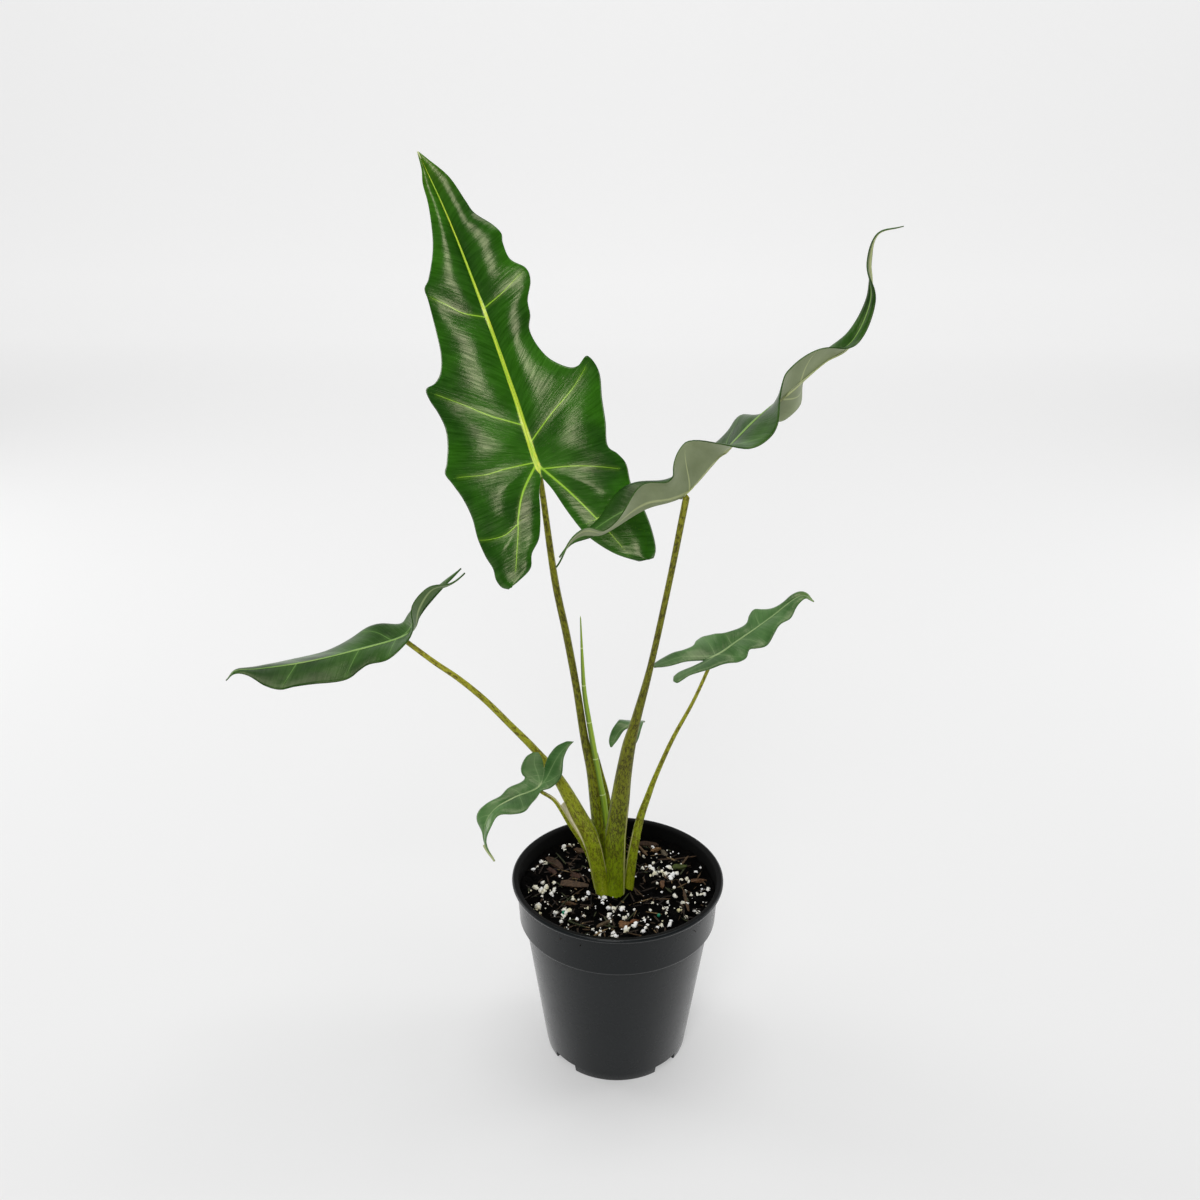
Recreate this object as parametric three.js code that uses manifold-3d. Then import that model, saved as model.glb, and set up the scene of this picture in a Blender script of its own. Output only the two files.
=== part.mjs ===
import * as THREE from 'three';
import { mergeVertices } from 'three/addons/utils/BufferGeometryUtils.js';
import Module from 'manifold-3d';

const wasm = await Module();
wasm.setup();

// Pot, in millimetres
const POT_HEIGHT = 105;
const LIP_RADIUS = 56;
const BAND_TOP_RADIUS = 53.5;
const BAND_FOOT_RADIUS = 52.3;
const BAND_FOOT_HEIGHT = 81.6;
const BODY_TOP_RADIUS = 49.6;
const BASE_RADIUS = 38.3;
const POT_WALL = 1.2;
const FLOOR_TOP = 2.4;
const FOOT_RECESS = 1.2;
const PAD_RADIUS = 10;
const NOTCH_WIDTH = 15;
const NOTCH_HEIGHT = 4.5;

// Potting mix and corm
const MIX_TOP = 95;
const GAP = 0.3;
const PERLITE_COUNT = 48;
const BARK_COUNT = 18;
const CORM_TOP = 85.7;
const CORM_BOTTOM = 58;
const CORM_RADIUS = 10;
const CORM_X = 0.5;
const CORM_Y = 0;

// Leaves
const BLADE_THICKNESS = 0.8;
const RIB_RELIEF = 0.9;
const RIB_WIDTH = 1.6;

// Materials
const plastic = new THREE.MeshStandardMaterial({ color: '#1d1e20', roughness: 0.45, metalness: 0 });
const peat = new THREE.MeshStandardMaterial({ color: '#2a1f18', roughness: 0.95, metalness: 0 });
const cormSkin = new THREE.MeshStandardMaterial({ color: '#6b4a2f', roughness: 0.9, metalness: 0 });
const stalkGreen = new THREE.MeshStandardMaterial({ color: '#7d8438', roughness: 0.45, metalness: 0 });
const bladeGreen = new THREE.MeshStandardMaterial({ color: '#1f5a20', roughness: 0.35, metalness: 0 });
const newLeafGreen = new THREE.MeshStandardMaterial({ color: '#7aa83a', roughness: 0.4, metalness: 0 });

// A repeatable stream of numbers from 0 to 1
function seeded(seed) {
  let state = seed;
  return () => {
    state = (state * 16807) % 2147483647;
    return state / 2147483647;
  };
}

// Closed mesh to solid and back
function toSolid(geometry) {
  const bare = geometry.index ? geometry.toNonIndexed() : geometry.clone();
  bare.deleteAttribute('normal');
  bare.deleteAttribute('uv');
  const merged = mergeVertices(bare, 1e-3);
  const used = [];
  const corners = merged.index.array;
  for (let i = 0; i < corners.length; i += 3) {
    const [a, b, c] = [corners[i], corners[i + 1], corners[i + 2]];
    if (a !== b && b !== c && c !== a) used.push(a, b, c);
  }
  const mesh = new wasm.Mesh({
    numProp: 3,
    vertProperties: new Float32Array(merged.attributes.position.array),
    triVerts: new Uint32Array(used),
  });
  return new wasm.Manifold(mesh);
}

function toGeometry(solid) {
  const mesh = solid.getMesh();
  const geometry = new THREE.BufferGeometry();
  geometry.setAttribute('position', new THREE.BufferAttribute(new Float32Array(mesh.vertProperties), 3));
  geometry.setIndex(new THREE.BufferAttribute(new Uint32Array(mesh.triVerts), 1));
  return geometry;
}

function largestPiece(solid) {
  return solid.decompose().sort((a, b) => b.volume() - a.volume())[0];
}

function minus(solid, cutters) {
  return largestPiece(cutters.reduce((rest, cutter) => rest.subtract(cutter), solid));
}

function revolve(profile, sides) {
  const points = profile.map(([radius, height]) => new THREE.Vector2(radius, height));
  return new THREE.LatheGeometry(points, sides).rotateX(Math.PI / 2);
}

// Pot: one moulding, with the drainage notches cut through its lower corner
function potBodyRadius(z) {
  return BASE_RADIUS + (BODY_TOP_RADIUS - BASE_RADIUS) * z / BAND_FOOT_HEIGHT;
}

function potSolid() {
  const outside = [
    [0, 0],
    [PAD_RADIUS, 0],
    [PAD_RADIUS + 1, FOOT_RECESS],
    [BASE_RADIUS - 11, FOOT_RECESS],
    [BASE_RADIUS - 10, 0],
    [BASE_RADIUS - 1, 0],
    [BASE_RADIUS, 1],
    [potBodyRadius(BAND_FOOT_HEIGHT - 0.8), BAND_FOOT_HEIGHT - 0.8],
    [BAND_FOOT_RADIUS - 0.4, BAND_FOOT_HEIGHT - 0.3],
    [BAND_FOOT_RADIUS, BAND_FOOT_HEIGHT + 0.4],
    [BAND_TOP_RADIUS, POT_HEIGHT - 2.6],
    [LIP_RADIUS - 0.5, POT_HEIGHT - 2],
    [LIP_RADIUS, POT_HEIGHT - 1.2],
    [LIP_RADIUS - 0.4, POT_HEIGHT - 0.3],
    [LIP_RADIUS - 1.3, POT_HEIGHT],
  ];
  const inside = [
    [BAND_TOP_RADIUS - 0.2, POT_HEIGHT - 0.1],
    [BAND_TOP_RADIUS - POT_WALL, POT_HEIGHT - 1.4],
    [BAND_FOOT_RADIUS - POT_WALL, BAND_FOOT_HEIGHT + 1.6],
    [potBodyRadius(BAND_FOOT_HEIGHT) - POT_WALL, BAND_FOOT_HEIGHT + 0.4],
    [potBodyRadius(FLOOR_TOP) - POT_WALL, FLOOR_TOP],
    [0, FLOOR_TOP],
  ];
  let pot = toSolid(revolve([...outside, ...inside], 48));
  for (const turn of [45, 135, 225, 315]) {
    const notch = new THREE.BoxGeometry(10, NOTCH_WIDTH, 2 * NOTCH_HEIGHT);
    notch.translate(BASE_RADIUS - 1, 0, 0);
    notch.rotateZ(THREE.MathUtils.degToRad(turn));
    pot = pot.subtract(toSolid(notch));
  }
  return pot;
}

// Corm: the short underground stem under the stalks
function cormSolid(grow) {
  const r = CORM_RADIUS + grow;
  const top = CORM_TOP + grow;
  const bottom = CORM_BOTTOM - grow;
  const profile = [
    [0, bottom],
    [r * 0.5, bottom + 1],
    [r * 0.85, bottom + 6],
    [r, bottom + 14],
    [r * 0.97, top - 4],
    [r * 0.86, top],
    [0, top],
  ];
  return toSolid(revolve(profile, 20).translate(CORM_X, CORM_Y, 0));
}

// Leaf stalks: a round bar of changing radius bent along a curve
function curveThrough(points) {
  return new THREE.CatmullRomCurve3(points.map((p) => new THREE.Vector3(...p)), false, 'catmullrom', 0.5);
}

function valueAlong(list, t) {
  const place = t * (list.length - 1);
  const k = Math.min(Math.floor(place), list.length - 2);
  return list[k] + (list[k + 1] - list[k]) * (place - k);
}

function stalkSolid(points, radii, grow) {
  const curve = curveThrough(points);
  const steps = 2 * (points.length - 1);
  const bar = new THREE.CylinderGeometry(1, 1, 1, 12, steps);
  const place = bar.attributes.position;
  for (let i = 0; i < place.count; i += 1) {
    const t = place.getY(i) + 0.5;
    const centre = curve.getPoint(t);
    const along = curve.getTangent(t);
    const across = new THREE.Vector3(0, 1, 0).cross(along).normalize();
    const forward = new THREE.Vector3().crossVectors(along, across);
    const radius = valueAlong(radii, t) + grow;
    centre.addScaledVector(across, radius * place.getX(i));
    centre.addScaledVector(forward, -radius * place.getZ(i));
    place.setXYZ(i, centre.x, centre.y, centre.z);
  }
  return toSolid(bar);
}

const STALKS = {
  b: {
    points: [[-1, -2, 84], [-1.5, -3, 123.5], [-0.5, -3, 139], [1, -4, 154], [2.5, -4, 168],
      [5, -5, 185.5], [8.5, -5, 201], [15, -6, 230.5], [23, -7, 275.5], [29.5, -8, 316.6]],
    radii: [5.2, 5.6, 5.3, 4.8, 4.1, 3.4, 2.4, 1.6, 1.5, 1.6],
  },
  c: {
    points: [[-5.5, -2, 84], [-13, -5, 126.5], [-20.5, -7, 146], [-30.5, -8, 167], [-41.5, -9, 183.5],
      [-54.5, -9, 198.5], [-66.5, -10, 212.5], [-78.5, -10, 223.5], [-90.5, -9, 232], [-104.5, -8, 243]],
    radii: [4, 4.3, 3.9, 2.8, 1.9, 1.6, 1.5, 1.4, 1.3, 1.2],
  },
  a: {
    points: [[-4.5, 4.5, 84], [-10.5, 7, 132.5], [-14, 9, 160.5], [-18, 11, 180.5], [-22, 13, 207.5],
      [-27, 16, 235.5], [-33, 20, 264.5], [-38.5, 24.5, 305], [-40.5, 24, 319.5]],
    radii: [4.2, 3.6, 2.7, 2.1, 1.9, 1.9, 1.8, 1.5, 1.4],
  },
  d: {
    points: [[5, 1.5, 84], [7.5, 1.5, 114], [11, 3, 135.5], [15, 4, 149.5], [19.5, 6, 162.5],
      [27.5, 8, 182.5], [37.5, 9.5, 203.5], [46, 11, 225.2]],
    radii: [2.8, 2.7, 2.2, 1.7, 1.3, 1.1, 0.9, 0.9],
  },
  new_leaf: {
    points: [[-1.5, 9, 88], [-4.5, 7, 113], [-7.9, 7.5, 144.5], [-10, 8.5, 156], [-14, 10.5, 180],
      [-17.8, 12.5, 204], [-19, 13.5, 221], [-20, 14, 246.5]],
    radii: [2, 2.4, 2.2, 2, 1.7, 1.3, 1, 0.3],
  },
  e: {
    points: [[-9.5, 1.5, 84], [-12.3, 0.6, 100], [-14.7, -0.7, 114], [-18.6, -3.2, 125.5], [-22, -6, 134],
      [-25.4, -9, 142.1], [-28.3, -13, 150.8], [-32.3, -18, 161], [-38, -25.5, 170]],
    radii: [1.1, 1.1, 1.1, 1.2, 1.2, 1.2, 1.1, 1, 0.9],
  },
  f: {
    points: [[3.5, 7, 84], [-1, 16, 120.5], [3, 27, 146], [7, 45, 169]],
    radii: [2, 1.6, 1.2, 0.9],
  },
};

// Leaf blades. Each one lies along a midrib curve, which runs on past the stalk to the lobes' ends,
// with the way that its upper face looks at each point. Half outlines are given flat, from the tip
// to the lobe: a point on the margin and its root, on the midrib or, below the notch, on the lobe's
// inner edge. Folds are the angles at which a half rises from the midrib, by distance from the stalk.
const BLADES = {
  a: {
    midrib: [[-19, 4, 268], [-40.5, 22, 321], [-53, 36, 355], [-67, 49, 390.5], [-84, 62, 431], [-99, 70, 462]],
    faces: [[0, -1, 0.35], [0, -1, 0.35], [0, -1, 0.35], [0, -1, 0.35], [0, -1, 0.35], [0, -1, 0.35]],
    junction: 1,
    right: [[0.4, 160.5, 0, 160.5], [3, 155.5, 0, 154], [8.5, 144, 0, 141], [11, 131, 0, 126], [12.7, 124, 0, 118],
      [18.5, 116, 0, 110], [21, 110.5, 0, 104], [20, 106, 0, 99], [20.5, 98, 0, 90], [26, 91.5, 0, 83], [26, 85, 0, 76],
      [21.5, 77, 0, 67], [20.2, 70, 0, 59], [17.5, 64, 0, 50], [18.3, 56, 0, 39], [22, 47.5, 0, 27.5], [29, 41, 0, 19.5],
      [34, 40.3, 0, 16], [39.5, 43.3, 0, 13.5], [42.5, 35, 0, 10], [40, 23, 0, 6.5], [38, 10.5, 0, 3.5],
      [35.3, -1, 0, 1], [38.5, -6.5, 0, -1.5], [40.8, -13, 0, -4.5], [39.6, -23, 3, -12], [41, -33, 6, -24],
      [41.5, -43, 9.8, -36], [40.8, -52, 14, -43.5], [39.5, -57, 21, -52], [37.3, -60, 30, -59]],
    left: [[0.4, 160.5, 0, 160.5], [2, 152.5, 0, 151], [4.5, 146, 0, 143], [6, 137.5, 0, 134], [8.5, 128, 0, 122],
      [11.5, 118.5, 0, 110], [15, 111, 0, 100], [20, 103, 0, 88], [23.3, 99.5, 0, 79], [23.6, 94, 0, 73],
      [24.5, 86, 0, 66], [25.5, 77.5, 0, 57], [27, 67.5, 0, 44], [30, 59.5, 0, 33], [34.5, 55.2, 0, 27],
      [39.8, 54, 0, 22.5], [39.8, 48, 0, 19], [38, 41, 0, 15], [37, 32, 0, 11], [38.5, 23.5, 0, 7], [41.5, 16, 0, 3.5],
      [44, 11.5, 0, 1], [42, 6, 0, -1.5], [39.5, -2, 0, -4.5], [38.5, -11.5, 3.5, -11], [39.5, -21.5, 5.8, -18.5],
      [39, -31, 9, -27], [37.7, -37.5, 12, -32.5], [38.3, -43, 17.3, -37.5], [37, -47.5, 20.5, -44], [34, -49.7, 29, -48]],
    foldRight: [[-60, 12], [160, 12]],
    foldLeft: [[-60, 12], [160, 12]],
    curl: -0.01,
    step: 9,
    columns: 4,
  },
  b: {
    midrib: [[-30.5, -31, 288.5], [-22, -27, 299], [-10, -21, 301.5], [10.5, -13, 310], [29.5, -8, 318.5], [45, -6, 336],
      [60.5, -2, 352], [78, 2, 366], [90.5, 4, 376.5], [103, 7, 386], [109.5, 9, 403.5], [107, 8, 419.5],
      [109, 6, 431.5], [118, 2, 435]],
    faces: [[-0.5, 0, 0.85], [-0.5, 0, 0.85], [-0.5, 0, 0.85], [-0.5, 0, 0.85], [-0.5, 0, 0.85], [-0.7, 0, 0.7],
      [-0.7, 0, 0.7], [-0.7, 0, 0.7], [-0.7, 0, 0.7], [-0.7, -0.3, 0.6], [-1, -0.5, 0], [-0.6, 0.8, 0],
      [-0.7, 0.3, 0.7], [0, 0, 1]],
    junction: 4,
    right: [[0.4, 161, 0, 161], [1.4, 145, 0, 143], [2.4, 128, 0, 125], [5, 104, 0, 98], [11.5, 84, 0, 74], [14.5, 64, 0, 53],
      [20.5, 45, 0, 33], [19.5, 31, 0, 15], [21.5, 18, 0, 3], [19, 0, 0, -4], [17, -21, 2, -14], [11.5, -36, 3, -29],
      [8, -50, 3, -44], [5, -62, 3, -58], [4.5, -71, 3.8, -70.5]],
    left: [[0.4, 161, 0, 161], [1.4, 146, 0, 144], [2.4, 130, 0, 127], [5, 106, 0, 100], [13.5, 75, 0, 62], [13, 60, 0, 48],
      [17, 45, 0, 32], [15, 28, 0, 14], [18.5, 12, 0, 2], [16.5, -6, 0, -4], [18.5, -24, 2, -15], [12.5, -39, 3, -31],
      [8.5, -52, 2.5, -46], [5, -60, 2.5, -57], [3.5, -67, 2.8, -66.5]],
    foldRight: [[-70, 10], [-54, 60], [-44, 25], [-20, 60], [-8, 45], [18, 62], [26, 28], [33, -6], [42, -14], [50, -8],
      [58, 18], [68, 48], [84, 50], [96, 20], [112, 0], [161, 0]],
    foldLeft: [[-70, 0], [-46, 20], [-20, 42], [0, 20], [20, 12], [34, 8], [44, 8], [50, -20], [57, -52],
      [66, -48], [74, -10], [84, 10], [112, 20], [161, 0]],
    curl: 0,
    step: 6,
    columns: 3,
  },
  c: {
    midrib: [[-77, 10, 270.5], [-85.5, 6, 263.5], [-95.5, -2, 254], [-104.5, -8, 245], [-129.5, -16, 240],
      [-147.5, -22, 237.5], [-168, -31, 237.5], [-178, -36.5, 239], [-182.5, -38.5, 235]],
    faces: [[-0.7, 0, 0.7], [-0.7, 0, 0.7], [-0.5, 0, 0.85], [-0.3, 0, 1], [0, 0, 1], [0, 0, 1], [0, 0, 1], [0, 0, 1],
      [-0.5, 0, 0.9]],
    junction: 3,
    right: [[0.4, 86.5, 0, 86.5], [3, 79, 0, 77], [9, 67, 0, 62], [14, 58, 0, 51], [17.5, 49, 0, 40], [17.5, 38, 0, 28],
      [16.5, 28, 0, 17], [17.8, 19, 0, 9], [15.5, 9, 0, 2], [12.5, -2, 0, -4], [13, -12, 1.5, -10], [12.5, -22, 3.5, -18],
      [9.5, -32, 4.5, -29], [7.5, -38, 5, -37], [6.5, -43, 5.6, -42.6]],
    left: [[0.4, 86.5, 0, 86.5], [4, 76, 0, 74], [12, 69, 0, 64], [16, 62.5, 0, 56], [15.5, 56, 0, 49], [16, 47, 0, 39],
      [18.3, 32, 0, 24], [15, 24.5, 0, 17], [12.8, 19, 0, 11], [14.5, 10, 0, 3], [13, 1, 0, -4], [10, -10, 1.5, -10],
      [9, -20, 3, -19], [8.5, -30, 4.5, -29], [7.5, -37, 5, -36.5], [6.5, -43, 5.6, -42.6]],
    foldRight: [[-42, 20], [-20, 15], [-5, 12], [10, 20], [25, 0], [40, -12], [86, -12]],
    foldLeft: [[-42, 10], [-33, 20], [-24, 70], [-15, 70], [-6, 25], [5, 0], [15, -12], [86, -14]],
    curl: -0.004,
    step: 7,
    columns: 3,
  },
  d: {
    midrib: [[22, 4, 221], [46, 11, 227.2], [59, 15.5, 234.3], [75, 20, 245], [90, 25, 255], [97, 26, 252]],
    faces: [[0, -0.2, 1], [0, -0.2, 1], [0, -0.2, 1], [0, -0.2, 1], [0, -0.2, 1], [0, -0.2, 1]],
    junction: 1,
    right: [[0.4, 62.5, 0, 62.5], [3, 56, 0, 55], [5, 49, 0, 47], [8.5, 42.5, 0, 40], [8.5, 37, 0, 34.5], [11, 31.5, 0, 28],
      [13.3, 25, 0, 21.5], [12, 19.5, 0, 17], [10.8, 17, 0, 14], [12.8, 13, 0, 9.5], [11, 8.5, 0, 5], [8.5, 4, 0, 1],
      [8.5, -4, 0, -3.5], [8, -10, 1, -8], [8, -15, 1.8, -12], [9.5, -19, 2.2, -16], [10.5, -22.5, 3, -19.5],
      [8.5, -24, 5, -22.5]],
    left: [[0.4, 62.5, 0, 62.5], [3.5, 57.5, 0, 56], [4, 51, 0, 49], [3.3, 46, 0, 43.5], [4.5, 40, 0, 37.5], [7.5, 35.5, 0, 32],
      [11, 32, 0, 27.5], [10.5, 28, 0, 23.5], [7.5, 24.5, 0, 19.5], [7.2, 19, 0, 14.5], [9, 13, 0, 9], [14, 8.5, 0, 4.5],
      [18, 3.5, 0, 1], [15.5, -2, 0, -1], [12, -5.5, 0, -3.5], [11.5, -11, 2.2, -9], [13.2, -17, 3.8, -14],
      [12.8, -23, 4.6, -20], [10.5, -28, 6, -25], [8, -28.8, 7, -28]],
    foldRight: [[-25, 8], [0, 8], [8, -2], [17, 10], [26, 0], [36, 10], [46, 0], [62, 5]],
    foldLeft: [[-25, 0], [-8, 12], [5, 2], [14, 12], [24, 0], [34, 10], [44, 0], [62, 5]],
    curl: -0.01,
    step: 5,
    columns: 3,
  },
  e: {
    midrib: [[-36.5, -14, 184.5], [-38.5, -26, 174], [-50, -36, 173], [-59, -43, 170.5], [-63, -48, 165.5],
      [-63, -50, 156], [-59, -50, 146]],
    faces: [[-0.2, -0.3, 1], [0, -0.3, 1], [0, -0.3, 1], [0, -0.3, 1], [-0.5, -0.3, 0.8], [-1, -0.3, 0.3], [-1, -0.3, 0]],
    junction: 1,
    right: [[0.4, 56, 0, 56], [0.9, 48, 0, 47], [1.8, 41.5, 0, 40], [5.5, 37, 0, 34.5], [6.5, 32.5, 0, 29], [5.4, 28, 0, 24.5],
      [4.4, 21.5, 0, 18], [6.3, 15.5, 0, 11.5], [7, 8, 0, 5], [9, 1, 0, -2], [11.5, -8, 0, -9], [9.8, -14, 1.4, -14],
      [6.5, -16.8, 3.5, -17]],
    left: [[0.4, 56, 0, 56], [1, 49, 0, 48], [3.5, 42, 0, 41], [5, 36, 0, 34.5], [4.6, 29, 0, 26.5], [9, 23, 0, 18.5],
      [11.3, 17, 0, 12], [7, 8.5, 0, 5], [3.2, 2.5, 0, 0.5], [6, -0.5, 0, -3], [9.3, -5.5, 0, -9], [10, -13, 1.5, -14.5],
      [12, -19, 5.5, -20], [14.8, -22.3, 11, -22.6]],
    foldRight: [[-25, 12], [56, 12]],
    foldLeft: [[-25, 12], [56, 12]],
    curl: -0.01,
    step: 4,
    columns: 3,
  },
  f: {
    midrib: [[3, 34, 164], [7, 45, 171], [8, 60, 164], [9.5, 75, 156.5]],
    faces: [[0, -0.1, 1], [0, -0.1, 1], [0, -0.1, 1], [0, -0.1, 1]],
    junction: 1,
    right: [[0.4, 33.5, 0, 33.5], [4, 24, 0, 22], [6.5, 15, 0, 12], [6, 6, 0, 3], [6, -2, 0, -2.5], [6.5, -8, 2, -6],
      [6, -13, 3, -11], [5, -15, 4, -14.6]],
    left: [[0.4, 33.5, 0, 33.5], [4.5, 24, 0, 22], [8, 15, 0, 11], [7.5, 6, 0, 3], [8, -1, 0, -2.5], [9.5, -8, 3, -6],
      [9, -14, 4.5, -12], [7, -17.5, 6, -17]],
    foldRight: [[-15, 10], [33, 10]],
    foldLeft: [[-15, 10], [33, 10]],
    curl: -0.01,
    step: 5,
    columns: 3,
  },
};

// A list of [place, value] pairs read as one smooth line
function valueAt(pairs, y) {
  const last = pairs.length - 1;
  if (y <= pairs[0][0]) return pairs[0][1];
  if (y >= pairs[last][0]) return pairs[last][1];
  const k = pairs.findIndex(([place]) => place > y) - 1;
  const slope = (i) => {
    if (i <= 0 || i >= last) return 0;
    return (pairs[i + 1][1] - pairs[i - 1][1]) / (pairs[i + 1][0] - pairs[i - 1][0]);
  };
  const span = pairs[k + 1][0] - pairs[k][0];
  const t = (y - pairs[k][0]) / span;
  const start = pairs[k][1] * (1 + 2 * t) + span * slope(k) * t;
  const end = pairs[k + 1][1] * (3 - 2 * t) - span * slope(k + 1) * (1 - t);
  return start * (1 - t) ** 2 + end * t * t;
}

// The midrib as a place, a direction and an upper-face direction at each distance from the stalk
function midribFrames(blade) {
  const samples = 40;
  const path = curveThrough(blade.midrib);
  const face = curveThrough(blade.faces);
  const total = samples * (blade.midrib.length - 1);
  const places = [];
  const faces = [];
  const lengths = [0];
  for (let i = 0; i <= total; i += 1) {
    places.push(path.getPoint(i / total));
    faces.push(face.getPoint(i / total));
    if (i) lengths.push(lengths[i - 1] + places[i].distanceTo(places[i - 1]));
  }
  const zero = lengths[samples * blade.junction];
  const spot = (list, y) => {
    const d = Math.min(Math.max(y + zero, 0), lengths[total]);
    let k = 1;
    while (k < total && lengths[k] < d) k += 1;
    return list[k - 1].clone().lerp(list[k], (d - lengths[k - 1]) / (lengths[k] - lengths[k - 1]));
  };
  const first = -zero;
  const last = lengths[total] - zero;
  return (y) => {
    const reach = Math.min(Math.max(y, first + 1.5), last - 1.5);
    const along = spot(places, reach + 1.5).sub(spot(places, reach - 1.5)).normalize();
    const place = spot(places, y);
    place.addScaledVector(along, y - Math.min(Math.max(y, first), last));
    const up = spot(faces, y);
    up.addScaledVector(along, -up.dot(along)).normalize();
    return { place, along, up, side: new THREE.Vector3().crossVectors(along, up) };
  };
}

// The last row that is rooted on the midrib, where the notch between the lobes begins
function notchOf(half) {
  return half.findLastIndex(([, , x]) => x === 0);
}

// Flat half outline at place q, counted in rows from the tip: a point on the margin and its root
function outline(half, q) {
  const k = Math.min(Math.floor(q), half.length - 2);
  const t = q - k;
  const notch = notchOf(half);
  const smooth = (column, lowest) => {
    const value = (i) => half[Math.min(Math.max(i, lowest), half.length - 1)][column];
    const [a, b, c, d] = [value(k - 1), value(k), value(k + 1), value(k + 2)];
    return b + 0.5 * t * (c - a + t * (2 * a - 5 * b + 4 * c - d + t * (3 * (b - c) + d - a)));
  };
  const margin = [smooth(0, 0), smooth(1, 0)];
  if (k >= notch) return { margin, root: [smooth(2, notch), smooth(3, notch)] };
  return { margin, root: [0, half[k][3] + (half[k + 1][3] - half[k][3]) * t] };
}

// Rows of the blade's grid. Above the notch both halves share their roots along the midrib.
function rowsOf(blade) {
  const halves = [blade.right, blade.left];
  const notches = halves.map(notchOf);
  const placeOf = (half, y) => {
    const k = half.findIndex(([, , , root], i) => i > 0 && root <= y);
    return k - (half[k][3] - y) / (half[k][3] - half[k - 1][3]);
  };
  const run = (half, from, to) => {
    const [a, m, b] = [from, (from + to) / 2, to].map((q) => outline(half, q).margin);
    return Math.hypot(a[0] - m[0], a[1] - m[1]) + Math.hypot(b[0] - m[0], b[1] - m[1]);
  };
  const roots = halves.flatMap((half, h) => half.slice(0, notches[h] + 1).map((row) => row[3]));
  const stops = [...new Set(roots)].sort((a, b) => b - a);
  const rows = [[0], [0]];
  for (let i = 1; i < stops.length; i += 1) {
    const from = halves.map((half) => placeOf(half, stops[i - 1]));
    const to = halves.map((half) => placeOf(half, stops[i]));
    const longest = Math.max(stops[i - 1] - stops[i], ...halves.map((half, h) => run(half, from[h], to[h])));
    const count = Math.ceil(longest / blade.step);
    for (let j = 1; j <= count; j += 1) {
      const y = stops[i - 1] + (stops[i] - stops[i - 1]) * j / count;
      halves.forEach((half, h) => rows[h].push(placeOf(half, y)));
    }
  }
  const shared = rows[0].length;
  halves.forEach((half, h) => {
    for (let k = notches[h]; k < half.length - 1; k += 1) {
      const count = Math.ceil(run(half, k, k + 1) / blade.step);
      for (let j = 1; j <= count; j += 1) rows[h].push(k + j / count);
    }
  });
  return { rows, shared };
}

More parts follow.
